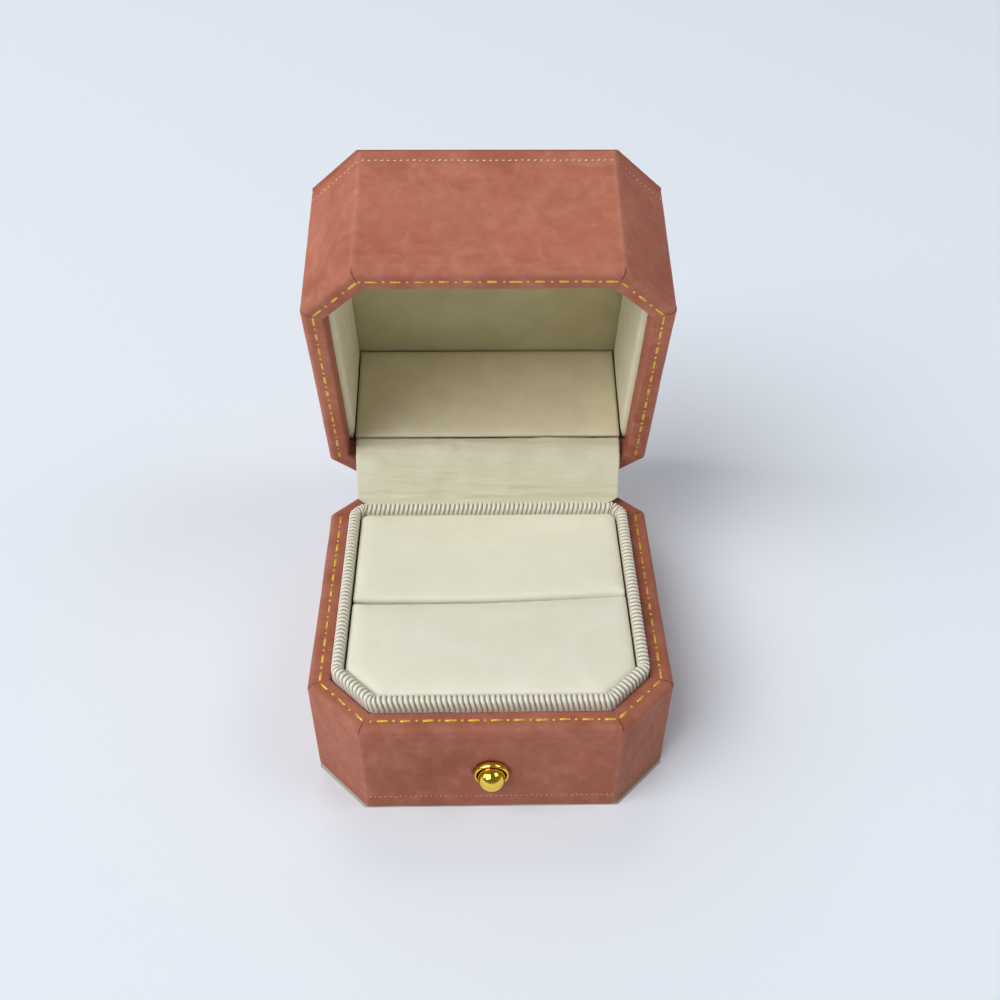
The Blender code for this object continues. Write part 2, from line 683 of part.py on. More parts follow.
def button_knob():
    """A ball on a stem, whose thin end passes through the catch slide and is flush with its back."""
    neck_angle = math.asin(STEM_RADIUS / BALL_RADIUS)
    profile = []
    steps = 12
    for step in range(steps + 1):
        angle = (math.pi - neck_angle) * step / steps
        stand_off = BALL_STAND_OFF + BALL_RADIUS * math.cos(angle)
        profile.append((BALL_RADIUS * math.sin(angle), stand_off))
    end = -HALF - SLIDE_BACK_Y
    profile += [(STEM_RADIUS, -CAVITY_INSET), (STEM_TIP_RADIUS, -CAVITY_INSET)]
    profile += [(STEM_TIP_RADIUS, end), (0, end)]
    stand_on_front("button_knob", turned_mesh("button_knob", profile), 24, BUTTON)


def stand_on_front(name, mesh, steps, parent=None):
    """Turn a profile about the button's axis, its heights outwards from the front wall."""
    obj = place(name, mesh, GOLD, parent)
    turn(obj, steps)
    obj.rotation_euler.x = math.pi / 2
    obj.location = (0, -HALF, BUTTON_Z)
    smooth(obj)


def catch_slide():
    """The plate on the button's stem that carries the magnet up under the rim."""
    low, high = (-SLIDE_HALF, SLIDE_FRONT_Y, SLIDE_LOW_Z), (SLIDE_HALF, SLIDE_BACK_Y, SLIDE_TOP_Z)
    obj = block("catch_slide", low, high, STEEL_GREY, BUTTON)
    middle = (SLIDE_FRONT_Y + SLIDE_BACK_Y) / 2
    cut_hole(obj, STEM_TIP_RADIUS + GAP, (0, middle, BUTTON_Z), 4 * SLIDE_THICKNESS)
    cut_hole(obj, MAGNET_RADIUS + GAP, (0, middle, MAGNET_Z), 4 * SLIDE_THICKNESS)
    mesh = cylinder_mesh("catch_magnet", MAGNET_RADIUS, 0.8 * SLIDE_THICKNESS)
    magnet = place("catch_magnet", mesh, MAGNET_GREY, BUTTON)
    magnet.location = (0, middle, MAGNET_Z)
    magnet.rotation_euler.x = math.pi / 2
    smooth(magnet)


def catch_spring():
    """A bowed strip behind the slide: its ends bear on the collar's inside, its middle on the slide."""
    end_y = -HALF + COLLAR_INSET + COLLAR_BOARD + GAP + BOW_THICKNESS / 2
    middle_y = SLIDE_BACK_Y + GAP + BOW_THICKNESS / 2
    bm = bmesh.new()
    steps = 20
    rows = []
    for step in range(steps + 1):
        x = -BOW_HALF + 2 * BOW_HALF * step / steps
        share = min(max((BOW_CURVE_HALF - abs(x)) / (BOW_CURVE_HALF - BOW_FLAT_HALF), 0), 1)
        y = end_y + (middle_y - end_y) * (1 - math.cos(math.pi * share)) / 2
        rows.append((bm.verts.new((x, y, BOW_LOW_Z)), bm.verts.new((x, y, BOW_HIGH_Z))))
    for (a, b), (c, d) in zip(rows, rows[1:]):
        bm.faces.new((a, c, d, b))
    obj = place("catch_spring", as_mesh("catch_spring", bm), STEEL_GREY)
    solidify(obj, BOW_THICKNESS, 0.0)


def lid_keeper():
    """The steel plate behind the lid's front lip that the magnet holds."""
    low = (-KEEPER_HALF, KEEPER_FRONT_Y, KEEPER_LOW_Z)
    high = (KEEPER_HALF, KEEPER_FRONT_Y + KEEPER_THICKNESS, KEEPER_HIGH_Z)
    block("lid_keeper", low, high, STEEL_GREY, LID)


def push_button():
    button_escutcheon()
    button_knob()
    catch_slide()
    catch_spring()
    lid_keeper()


closing_panels()
base_frame()
base_leather()
collar_wall()
collar_edging()
ring_insert()
lid_frame()
lid_leather()
lid_lining()
satin_hinge_strip()
hinge()
push_button()
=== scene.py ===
"""Looks of an octagonal leather jewellery case for one ring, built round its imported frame.

Metres, +Z up, the front with the push button towards -Y. The lid's pieces are shaped with the lid shut, where
their sizes are plain, and are then tipped back about the hinge, which is how the case stands at rest.
"""
import json
import math
import random

import bmesh
import bpy
import numpy as np
from mathutils import Matrix, Vector, noise


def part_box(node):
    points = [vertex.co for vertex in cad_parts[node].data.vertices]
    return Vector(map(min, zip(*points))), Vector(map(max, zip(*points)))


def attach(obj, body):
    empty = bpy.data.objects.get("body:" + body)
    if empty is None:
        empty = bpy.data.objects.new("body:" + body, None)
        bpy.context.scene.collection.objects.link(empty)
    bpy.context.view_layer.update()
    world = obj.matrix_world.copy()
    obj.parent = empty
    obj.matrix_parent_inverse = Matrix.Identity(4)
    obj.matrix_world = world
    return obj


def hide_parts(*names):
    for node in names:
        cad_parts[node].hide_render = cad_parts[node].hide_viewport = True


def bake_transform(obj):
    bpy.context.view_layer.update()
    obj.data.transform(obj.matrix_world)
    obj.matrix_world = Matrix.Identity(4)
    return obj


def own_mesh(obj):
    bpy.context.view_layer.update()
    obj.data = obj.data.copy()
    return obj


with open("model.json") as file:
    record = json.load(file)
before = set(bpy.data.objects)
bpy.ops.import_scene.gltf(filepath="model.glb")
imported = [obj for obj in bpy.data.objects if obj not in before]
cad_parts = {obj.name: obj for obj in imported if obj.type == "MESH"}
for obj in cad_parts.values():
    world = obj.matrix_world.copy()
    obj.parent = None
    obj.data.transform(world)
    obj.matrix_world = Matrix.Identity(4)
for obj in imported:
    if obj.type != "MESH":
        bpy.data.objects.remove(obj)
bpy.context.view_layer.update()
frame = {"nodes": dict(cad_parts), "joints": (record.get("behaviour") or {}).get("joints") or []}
NODES = frame["nodes"]
MM = 0.001


# ---- sizes read from the frame

HINGE = next(joint for joint in frame["joints"] if joint["name"] == "lid_hinge")
PIVOT = Vector(HINGE["pos_m"])
TILT = Matrix.Rotation(-math.radians(HINGE["range_deg"][1]), 4, "X")
TIP_BACK = Matrix.Translation(PIVOT) @ TILT @ Matrix.Translation(-PIVOT)


def shut_box(node):
    """Lowest and highest corner of one of the lid's nodes, with the lid shut."""
    shut = TIP_BACK.inverted()
    corners = np.array([shut @ vertex.co for vertex in NODES[node].data.vertices])
    return Vector(corners.min(0)), Vector(corners.max(0))


GAP = 0.3 * MM
LEATHER = 0.9 * MM
BASE_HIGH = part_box("base_leather")[1]
LID_LOW = shut_box("lid_leather")[0]
PANEL_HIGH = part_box("base_bottom_panel")[1]
LID_TOP = shut_box("lid_top_panel")[1].z
EDGING_LOW, EDGING_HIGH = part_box("collar_edging")
FRONT_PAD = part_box("front_pad_cover")
REAR_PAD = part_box("rear_pad_cover")
LINING_FRONT = shut_box("lid_lining_front")
LINING_REAR = shut_box("lid_lining_rear")
LINING_SIDE = shut_box("lid_lining_right")
LINING_TOP = shut_box("lid_lining_top")
STRIP_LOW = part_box("satin_hinge_strip")[0]
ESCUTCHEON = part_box("button_escutcheon")
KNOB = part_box("button_knob")
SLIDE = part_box("catch_slide")
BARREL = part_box("base_hinge_leaf")

HALF = BASE_HIGH.x
FRONT_EDGE = [v.co.x for v in NODES["base_bottom_panel"].data.vertices if v.co.y < -HALF + 0.1 * MM]
# The panel's corners stand a little proud of the leather's.
CORNER_CUT = HALF - max(FRONT_EDGE) + 0.35 * MM
RIM_Z = BASE_HIGH.z
LID_RIM_Z = LID_LOW.z
RIM = HALF - EDGING_HIGH.x - GAP
TURN_IN = LINING_FRONT[0].z - GAP - LID_RIM_Z
RIM_ROUND = 1.05 * MM           # of the rim's outer edge
TURN_ROUND = 0.5 * MM           # of its inner edge
EDGE_ROUND = 0.8 * MM           # of the walls' upright edges
FLANGE = 0.25 * MM              # of a closing panel that shows past the leather
GOLD_INSET = 2.1 * MM           # of the gold line from the outside of the rim
LID_LINE = 2.85 * MM            # of the fine line from the lid's top edge
BASE_LINE = 3.5 * MM            # of the fine line from the base's bottom edge
COLLAR_INSET = HALF - EDGING_HIGH.x
EDGING_WIDTH = 1.9 * MM
EDGING_FOOT = RIM_Z - 1.1 * MM  # height at which the edging's skirt ends
RIB_PITCH = 0.945 * MM
RIB_STEPS = 12                  # points along each rib's width
PAD_VOXEL = 0.65 * MM
BUTTON_Z = (KNOB[0].z + KNOB[1].z) / 2
BUTTON_HOLE = 3.05 * MM         # radius


# ---- outlines

def octagon(inset, leg=CORNER_CUT):
    """Corners of the case's outline, anticlockwise from the front-left, drawn parallel to the outside."""
    far = HALF - inset
    near = far - leg + inset * (2 - math.sqrt(2))
    half = [Vector(corner) for corner in ((-near, -far), (near, -far), (far, -near), (far, near))]
    return half + [-corner for corner in half]


def collar_outline(inset):
    """The octagon cut off straight at the collar's rear wall."""
    corners = octagon(inset)
    rear = EDGING_HIGH.y - (inset - COLLAR_INSET)
    narrow = corners[2].x - (rear - corners[3].y)
    corners[4:6] = [Vector((narrow, rear)), Vector((-narrow, rear))]
    return corners


def rounding(corners, i, radius):
    """A rounded corner's centre, first spoke and turn, the way on from it, and its reach along a side."""
    corner = corners[i]
    back = (corners[i - 1] - corner).normalized()
    ahead = (corners[(i + 1) % len(corners)] - corner).normalized()
    turn = math.pi - back.angle(ahead)
    reach = radius * math.tan(turn / 2)
    centre = corner + (back + ahead).normalized() * radius / math.cos(turn / 2)
    return centre, corner + back * reach - centre, turn, ahead, reach


def swing(spoke, angle):
    """x and y of a spoke swung anticlockwise."""
    c, s = math.cos(angle), math.sin(angle)
    return spoke.x * c - spoke.y * s, spoke.x * s + spoke.y * c


def ring(corners, radius, steps, arc_steps=6):
    """Rows of x, y and the distance past the nearest corner, round a polygon with rounded corners.

    steps is the number of stretches of each side, closer together near the corners.
    """
    rows = []
    for i, corner in enumerate(corners):
        centre, spoke, turn, ahead, reach = rounding(corners, i, radius)
        for k in range(arc_steps + 1):
            angle = turn * k / arc_steps
            x, y = swing(spoke, angle)
            rows.append((centre.x + x, centre.y + y, radius * (angle - turn / 2)))
        start = corner + ahead * reach
        end = corners[(i + 1) % len(corners)] - ahead * reach
        length = (end - start).length
        for k in range(1, steps[i]):
            share = (1 - math.cos(math.pi * k / steps[i])) / 2
            point = start.lerp(end, share)
            past = share * length if share < 0.5 else (share - 1) * length
            rows.append((point.x, point.y, past + math.copysign(radius * turn / 2, past)))
    return np.array(rows)


def side_steps(corners, spacing):
    lengths = [(after - corner).length for corner, after in sides_of(corners, 0, len(corners))]
    return [max(8, round(length / spacing)) for length in lengths]


def sides_of(corners, first, count):
    """Both ends of some of a polygon's sides, in order from the first."""
    total = len(corners)
    return [(corners[(first + i) % total], corners[(first + i + 1) % total]) for i in range(count)]


# ---- meshes

def line_lengths(points):
    """Distance along a closed line at each of its points, and once round at the first again."""
    steps = np.linalg.norm(np.diff(np.vstack([points, points[:1]]), axis=0), axis=1)
    return np.concatenate([[0], steps.cumsum()])


def lattice(name, grid, wrap_rows=False, ends=False):
    """A mesh through a grid whose rows are closed lines, with its lengths in metres as UV.

    ends closes the two ends of a flattened tube.
    """
    rows, columns = grid.shape[:2]
    down = rows if wrap_rows else rows - 1
    r, c = np.meshgrid(np.arange(down), np.arange(columns), indexing="ij")
    r1, c1 = (r + 1) % rows, (c + 1) % columns
    index = [r * columns + c, r * columns + c1, r1 * columns + c1, r1 * columns + c]
    faces = np.stack(index, -1).reshape(-1, 4).tolist()
    u, v = line_lengths(grid[rows // 2]), line_lengths(grid[:, 0])
    corners = [(u[c], v[r]), (u[c + 1], v[r]), (u[c + 1], v[r + 1]), (u[c], v[r + 1])]
    uv = np.stack([np.stack(corner, -1) for corner in corners], 2).reshape(-1, 2)
    if ends:
        for row in (0, rows - 1):
            first, last = row * columns, (row + 1) * columns - 1
            strip = [(first + k, first + k + 1, last - k - 1, last - k) for k in range(columns // 2 - 1)]
            faces += strip
            uv = np.vstack([uv, np.zeros((4 * len(strip), 2))])
    mesh = bpy.data.meshes.new(name)
    mesh.from_pydata(grid.reshape(-1, 3).tolist(), [], faces)
    layer = mesh.uv_layers.new(name="cloth")
    layer.data.foreach_set("uv", uv.astype(np.float32).ravel())
    return as_object(name, mesh)


def stacked(name, rows):
    """A closed piece through rows of points, with the first and the last row filled in."""
    obj = lattice(name, np.array(rows))
    columns = len(rows[0])
    bm = bmesh.new()
    bm.from_mesh(obj.data)
    bm.verts.ensure_lookup_table()
    for first in (0, (len(rows) - 1) * columns):
        bm.faces.new([bm.verts[first + k] for k in range(columns)])
    bmesh.ops.recalc_face_normals(bm, faces=bm.faces)
    bm.to_mesh(obj.data)
    bm.free()
    return obj


def level(outline, height):
    return np.c_[outline, np.full(len(outline), height)]


def linked(name, data):
    obj = bpy.data.objects.new(name, data)
    bpy.context.scene.collection.objects.link(obj)
    return obj


def as_object(name, mesh):
    """Link a closed mesh, smooth and with its faces pointing out."""
    bm = bmesh.new()
    bm.from_mesh(mesh)
    bmesh.ops.recalc_face_normals(bm, faces=bm.faces)
    bm.to_mesh(mesh)
    bm.free()
    mesh.shade_smooth()
    return linked(name, mesh)


def points_of(obj):
    return np.array([vertex.co for vertex in obj.data.vertices])


def move_points(obj, points):
    obj.data.vertices.foreach_set("co", points.astype(np.float32).ravel())
    obj.data.update()


def set_attribute(obj, name, values):
    layer = obj.data.attributes.new(name, "FLOAT", "POINT")
    layer.data.foreach_set("value", np.asarray(values, np.float32).ravel())


def grid_normals(grid, outward):
    """Unit normals of a grid that wraps both ways, turned to agree with outward along its first row."""
    down = np.roll(grid, -1, 0) - np.roll(grid, 1, 0)
    along = np.roll(grid, -1, 1) - np.roll(grid, 1, 1)
    normals = np.cross(along, down)
    normals /= np.maximum(np.linalg.norm(normals, axis=2, keepdims=True), 1e-12)
    return normals * math.copysign(1, (normals[0] * outward).sum())


def noise_of(points, scale, seed=0.0):
    """Smooth noise in -1..1 at each point of an array, with features of 1 / scale."""
    flat = points.reshape(-1, 3) * scale + seed
    values = [noise.noise(Vector(point)) for point in flat]
    return np.array(values).reshape(points.shape[:-1])


def ridge(value, middle, width):
    """1 at the middle, falling smoothly away within about a width on either side."""
    return np.exp(-((value - middle) / width) ** 2)


def evaluated(obj):
    return obj.evaluated_get(bpy.context.evaluated_depsgraph_get())


def apply_modifiers(obj):
    mesh = bpy.data.meshes.new_from_object(evaluated(obj))
    obj.modifiers.clear()
    obj.data = mesh


def cut(obj, cutter):
    """Take a closed mesh out of a piece."""
    tool = linked("cutter", cutter)
    boolean = obj.modifiers.new("cut", "BOOLEAN")
    boolean.object = tool
    boolean.operation = "DIFFERENCE"
    apply_modifiers(obj)
    bpy.data.objects.remove(tool)


def new_mesh(name, bm):
    mesh = bpy.data.meshes.new(name)
    bm.to_mesh(mesh)
    bm.free()
    return mesh


def block_mesh(low, high):
    bm = bmesh.new()
    bmesh.ops.create_cube(bm, size=1)
    size = Vector(high) - Vector(low)
    bmesh.ops.scale(bm, verts=bm.verts, vec=size)
    bmesh.ops.translate(bm, verts=bm.verts, vec=Vector(low) + size / 2)
    return new_mesh("block", bm)


def bore_mesh(radius, centre, length):
    """A cylinder along Y."""
    bm = bmesh.new()
    turned = Matrix.Translation(centre) @ Matrix.Rotation(math.pi / 2, 4, "X")
    bmesh.ops.create_cone(
        bm, cap_ends=True, segments=64, radius1=radius, radius2=radius, depth=length, matrix=turned,
    )
    return new_mesh("bore", bm)


def dress(obj, material, body, slot, *nodes):
    """Give a finished piece its material and the body it rides on, and hide the CAD nodes it stands for. slot
    is not used.
    """
    obj.data.materials.clear()
    obj.data.materials.append(material)
    if body == "lid":
        obj.data.transform(TIP_BACK)
    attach(obj, body)
    if nodes:
        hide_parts(*nodes)
    return obj


# ---- material nodes

class Nodes:
    """A material's node tree, with short names for the nodes that these finishes share."""

    def __init__(self, name, roughness=0.5, metallic=0.0, sheen=0.0, specular=0.5):
        self.material = bpy.data.materials.new(name)
        self.material.use_nodes = True
        self.tree = self.material.node_tree
        self.shader = self.tree.nodes["Principled BSDF"]
        self.set("Roughness", roughness)
        self.set("Metallic", metallic)
        self.set("Sheen Weight", sheen)
        self.set("Specular IOR Level", specular)

    def add(self, kind, inputs=(), **settings):
        made = self.tree.nodes.new(kind)
        for key, value in settings.items():
            setattr(made, key, value)
        for key, value in dict(inputs).items():
            self.feed(made.inputs[key], value)
        return made

    def feed(self, socket, value):
        if isinstance(value, bpy.types.NodeSocket):
            self.tree.links.new(value, socket)
        else:
            socket.default_value = value

    def set(self, name, value):
        self.feed(self.shader.inputs[name], value)

    def place(self, stretch=(1, 1, 1), turn=0.0, cloth=False):
        """Coordinates in metres that stay with the piece; cloth follows the fabric's own length and width."""
        source = self.add("ShaderNodeUVMap", uv_map="cloth") if cloth else self.add("ShaderNodeTexCoord")
        output = source.outputs["UV" if cloth else "Object"]
        inputs = {"Vector": output, "Scale": stretch, "Rotation": (0, 0, turn)}
        return self.add("ShaderNodeMapping", inputs).outputs["Vector"]

    def noise(self, where, size, detail=2.0, distortion=0.0):
        """Noise of 0 to 1 with features about size metres across."""
        inputs = {"Vector": where, "Scale": 1 / size, "Detail": detail, "Distortion": distortion}
        return self.add("ShaderNodeTexNoise", inputs).outputs["Fac"]

    def bands(self, where, pitch, distortion=0.0):
        """Parallel bands along X, one each pitch metres."""
        inputs = {"Vector": where, "Scale": math.pi / 10 / pitch, "Distortion": distortion, "Detail": 1.0}
        return self.add("ShaderNodeTexWave", inputs, bands_direction="X").outputs["Fac"]

    def spread(self, value, low, high, start=0.0, end=1.0):
        inputs = {"Value": value, "From Min": low, "From Max": high, "To Min": start, "To Max": end}
        return self.add("ShaderNodeMapRange", inputs).outputs["Result"]

    def sum(self, a, b, operation="ADD"):
        made = self.add("ShaderNodeMath", operation=operation)
        self.feed(made.inputs[0], a)
        self.feed(made.inputs[1], b)
        return made.outputs[0]

    def mix(self, factor, a, b):
        """A colour between a and b."""
        made = self.add("ShaderNodeMix", data_type="RGBA")
        self.feed(made.inputs["Factor"], factor)
        for socket, value in zip([s for s in made.inputs if s.type == "RGBA"], (a, b)):
            self.feed(socket, (*value, 1) if isinstance(value, tuple) else value)
        return [s for s in made.outputs if s.type == "RGBA"][0]

    def attribute(self, name):
        return self.add("ShaderNodeAttribute", attribute_name=name).outputs["Fac"]

    def bump(self, height, depth, under=None):
        """Relief of depth metres, over any that is already there."""
        inputs = {"Height": height, "Distance": depth, "Strength": 1.0}
        if under:
            inputs["Normal"] = under
        return self.add("ShaderNodeBump", inputs).outputs["Normal"]


def nubuck(name, shade_tone):
    """Soft brushed leather: cloudy dye, fine grain, paler where the edges are worn and along a painted
    highlight line below the rim, darker along the mitre creases as painted shade. Its tone scales the dye,
    and a tone below 1 is painted shade.
    """
    deep, mid, light, pale = (tuple(shade_tone * part for part in dye) for dye in NUBUCK_DYES)
    m = Nodes(name, roughness=0.66, sheen=0.06, specular=0.13)
    m.set("Sheen Tint", (0.9, 0.5, 0.4, 1))
    where = m.place()
    cloud = m.spread(m.noise(where, 19 * MM, 2.0, 0.2), 0.3, 0.7)
    patch = m.spread(m.noise(where, 6 * MM, 3.0, 0.3), 0.35, 0.72)
    colour = m.mix(cloud, deep, mid)
    colour = m.mix(m.sum(patch, 0.6, "MULTIPLY"), colour, light)
    bloom = m.noise(where, 3.2 * MM, 4.0, 0.8)
    colour = m.mix(m.spread(bloom, 0.5, 0.72, 0, 0.23), colour, pale)
    colour = m.mix(m.spread(bloom, 0.28, 0.48, 0.4, 0), colour, deep)
    grain = m.noise(where, 0.16 * MM, 3.0)
    colour = m.mix(m.spread(grain, 0.62, 0.8, 0, 0.35), colour, deep)
    streaks = m.noise(m.place((1, 6, 6), 0.5), 2.2 * MM, 4.0, 1.2)
    colour = m.mix(m.spread(streaks, 0.62, 0.76, 0, 0.26), colour, pale)
    uneven = m.spread(m.noise(where, 1.5 * MM, 3.0), 0.3, 0.7, 0.25, 1.0)
    # Worn edges, and a painted highlight line below the rim's bead, turn the leather pale.
    wear_and_highlight_mix = m.sum(m.attribute("wear_and_highlight"), uneven, "MULTIPLY")
    colour = m.mix(m.sum(wear_and_highlight_mix, 0.3, "MULTIPLY"), colour, pale)
    # Painted shade darkens the leather along the mitre creases.
    colour = m.mix(m.attribute("shade"), colour, NUBUCK_CREASE_SHADE)
    m.set("Base Color", colour)
    m.set("Roughness", m.spread(patch, 0, 1, 0.58, 0.74))
    coarse = m.bump(m.noise(where, 1.1 * MM, 4.0), 0.05 * MM)
    m.set("Normal", m.bump(grain, 0.022 * MM, coarse))
    return m.material


def velvet(name, colour, shade):
    """Short cream pile: a soft sheen, a fine speckle and patches where the nap leans."""
    m = Nodes(name, roughness=0.92, sheen=0.15, specular=0.1)
    m.set("Sheen Roughness", 0.35)
    where = m.place()
    nap = m.spread(m.noise(where, 7 * MM, 3.0, 0.4), 0.35, 0.7)
    pile = m.noise(where, 0.14 * MM, 2.0)
    mixed = m.mix(nap, shade, colour)
    m.set("Base Color", m.mix(m.spread(pile, 0.6, 0.85, 0, 0.3), mixed, shade))
    soft = m.bump(m.noise(where, 1.6 * MM, 3.0), 0.03 * MM)
    m.set("Normal", m.bump(pile, 0.03 * MM, soft))
    return m.material


def satin(name, colour, shade, roughness=0.42, crease=0.07 * MM):
    """Fine diagonal twill with a soft gloss and faint creases."""
    m = Nodes(name, roughness=roughness, sheen=0.2, specular=0.5)
    twill = m.bands(m.place(turn=math.radians(45), cloth=True), 0.22 * MM, 0.6)
    thread = m.bands(m.place(turn=math.radians(-38), cloth=True), 0.3 * MM, 0.8)
    where = m.place(cloth=True)
    weave = m.sum(twill, thread, "MULTIPLY")
    cloud = m.spread(m.noise(where, 6 * MM, 4.0, 0.5), 0.35, 0.7)
    mixed = m.mix(cloud, shade, colour)
    m.set("Base Color", m.mix(m.spread(weave, 0, 1, 0.22, 0), mixed, shade))
    m.set("Roughness", m.spread(cloud, 0, 1, roughness + 0.1, roughness - 0.06))
    creases = m.bump(m.noise(m.place((1, 2.2, 1), cloth=True), 4.5 * MM, 3.0, 0.7), crease)
    m.set("Normal", m.bump(weave, 0.02 * MM, creases))
    return m.material


def ribbed_satin():
    """Glossy ribbed ribbon: pale crests, painted shade in the hollows between the ribs, fine threads along
    each rib.
    """
    m = Nodes("ribbed_satin", roughness=0.4, sheen=0.1, specular=0.4)
    groove_shade = m.attribute("groove_shade")
    colour = m.mix(groove_shade, RIB_CREST, RIB_GROOVE_SHADE)
    colour = m.mix(m.sum(m.attribute("foot"), 0.5, "MULTIPLY"), colour, RIB_FOOT)
    m.set("Base Color", colour)
    threads = m.bands(m.place(cloth=True), 0.11 * MM, 0.5)
    m.set("Normal", m.bump(threads, 0.012 * MM))
    m.set("Roughness", m.spread(m.noise(m.place(), 0.8 * MM, 3.0), 0.3, 0.7, 0.28, 0.46))
    return m.material


def polished_gold():
    m = Nodes("polished_gold", roughness=0.1, metallic=1.0)
    where = m.place()
    m.set("Base Color", m.mix(m.noise(where, 2 * MM, 3.0), GOLD_DEEP, GOLD_BRIGHT))
    m.set("Roughness", m.spread(m.noise(where, 0.6 * MM, 4.0), 0.35, 0.7, 0.05, 0.14))
    return m.material


def gold_foil(name, bright, dull, roughness):
    """Stamped foil, broken and duller where it has rubbed."""
    m = Nodes(name, roughness=roughness, metallic=0.5, specular=0.5)
    where = m.place()
    worn = m.spread(m.noise(where, 0.5 * MM, 3.0, 0.5), 0.5, 0.68)
    m.set("Base Color", m.mix(worn, bright, dull))
    m.set("Roughness", m.spread(worn, 0, 1, roughness, roughness + 0.3))
    m.set("Normal", m.bump(m.noise(where, 0.12 * MM, 2.0), 0.02 * MM))
    return m.material


def brushed_steel(name, colour, roughness):
    m = Nodes(name, roughness=roughness, metallic=1.0)
    where = m.place((1, 12, 12))
    brushed = m.noise(where, 0.7 * MM, 4.0)
    m.set("Base Color", m.mix(m.noise(m.place(), 3 * MM, 3.0), colour, tuple(0.8 * part for part in colour)))
    m.set("Roughness", m.spread(brushed, 0.3, 0.7, roughness - 0.08, roughness + 0.12))
    m.set("Normal", m.bump(brushed, 0.01 * MM))
    return m.material


def fibrous(name, colour, dark, fibre=0.35 * MM):
    """Board, card or paper: flecked, matt and slightly rough."""
    m = Nodes(name, roughness=0.9, specular=0.2)
    where = m.place()
    fleck = m.noise(m.place((1, 3, 1), 0.6), fibre, 4.0, 0.8)
    colour = m.mix(m.spread(fleck, 0.4, 0.75), colour, dark)
    m.set("Base Color", colour)
    m.set("Normal", m.bump(m.noise(where, fibre, 4.0), 0.04 * MM))
    return m.material


# Deep, middle, light and pale; the pale marks worn spots and also a painted highlight line below the rim.
NUBUCK_DYES = ((0.37, 0.108, 0.064), (0.48, 0.162, 0.098), (0.52, 0.195, 0.125), (0.68, 0.34, 0.24))
# Colour of the painted shade in the mitre creases.
NUBUCK_CREASE_SHADE = (0.130, 0.030, 0.018)
RIB_CREST = (0.90, 0.87, 0.74)
# Colour of the painted shade between the ribs.
RIB_GROOVE_SHADE = (0.34, 0.29, 0.20)
RIB_FOOT = (0.70, 0.54, 0.46)
FLOOR = (0.86, 0.91, 0.98)
BACKDROP = (0.76, 0.81, 0.88)
ROOM_LOW = (0.50, 0.53, 0.58)
ROOM_MID = (0.32, 0.33, 0.35)
ROOM_HIGH = (0.15, 0.16, 0.17)
GOLD_DEEP = (0.82, 0.56, 0.05)
GOLD_BRIGHT = (1.00, 0.75, 0.13)

# The base's nubuck is the lid's leather with its dye scaled by 0.84: painted shade.
BASE_SKIN_SHADED = nubuck("base_nubuck_shaded", 0.84)
LID_SKIN = nubuck("lid_nubuck", 1.0)
PAD_VELVET = velvet("pad_velvet", (0.90, 0.885, 0.74), (0.865, 0.85, 0.69))
# The lid's top panel is the pads' cream velvet darkened: painted shade for the inside of the lid's top.
TOP_VELVET_SHADED = velvet("top_velvet_shaded", (0.56, 0.50, 0.29), (0.50, 0.44, 0.25))
SIDE_CLOTH = satin("side_cloth", (0.90, 0.83, 0.62), (0.84, 0.77, 0.56), 0.6)
REAR_SATIN = satin("rear_satin", (0.90, 0.82, 0.60), (0.82, 0.74, 0.52), 0.42)
STRIP_SATIN = satin("strip_satin", (0.83, 0.80, 0.61), (0.73, 0.70, 0.51), 0.36, 0.17 * MM)
RIBBED = ribbed_satin()
GOLD = polished_gold()
BASE_FOIL = gold_foil("base_foil", (0.95, 0.58, 0.07), (0.60, 0.30, 0.04), 0.25)
LID_FOIL = gold_foil("lid_foil", (0.92, 0.56, 0.08), (0.56, 0.30, 0.05), 0.3)
# The lid's stitches are paler and pinker than the base's: painted highlight.
LID_THREAD_HIGHLIGHT = gold_foil("lid_thread_highlight", (1.00, 0.78, 0.50), (0.80, 0.46, 0.28), 0.45)
BASE_THREAD = gold_foil("base_thread", (0.78, 0.44, 0.14), (0.40, 0.16, 0.09), 0.4)
STEEL = brushed_steel("steel", (0.60, 0.60, 0.60), 0.3)
MAGNET = brushed_steel("magnet", (0.50, 0.50, 0.52), 0.22)
BOARD = fibrous("greyboard", (0.36, 0.33, 0.28), (0.22, 0.20, 0.17))
PAPER = fibrous("panel_paper", (0.50, 0.47, 0.40), (0.36, 0.33, 0.28), 0.2 * MM)


# ---- leather skins

def arc(centre_inset, centre_drop, radius, start, end, steps=7):
    """Points of a quarter round in the section, (inset, drop) from the rim's plane."""
    angles = np.radians(np.linspace(start, end, steps))
    return [(centre_inset - radius * math.cos(a), centre_drop - radius * math.sin(a)) for a in angles]


def skin_section(depth, line_drop):
    """The leather's closed section, (inset, drop): up the wall, over the rim, down inside and back within."""
    foot = 0.35 * MM
    wall = np.linspace(depth - foot, RIM_ROUND, max(12, round(depth / (0.7 * MM))))
    tooled = np.linspace(line_drop - 0.6 * MM, line_drop + 0.6 * MM, 13)
    drops = sorted({round(drop, 7) for drop in [*wall, *tooled]}, reverse=True)
    section = arc(foot, depth - foot, foot, -90, 0, 4)[:-1]
    section += [(0.0, drop) for drop in drops]
    section += arc(RIM_ROUND, RIM_ROUND, RIM_ROUND, 0, 90)[1:]
    section += [(inset, 0.0) for inset in np.linspace(RIM_ROUND, RIM - TURN_ROUND, 18)[1:-1]]
    section += [(RIM - inset, drop) for inset, drop in arc(TURN_ROUND, TURN_ROUND, TURN_ROUND, 90, 0)]
    section += [(RIM, drop) for drop in np.linspace(TURN_ROUND, TURN_IN, 9)[1:]]
    shown = len(section)
    back = 0.2 * MM
    section += [(RIM - LEATHER, TURN_IN), (RIM - LEATHER, LEATHER + back), (RIM - LEATHER - back, LEATHER)]
    section += [(LEATHER + back, LEATHER), (LEATHER, LEATHER + back), (LEATHER, depth)]
    return section, shown


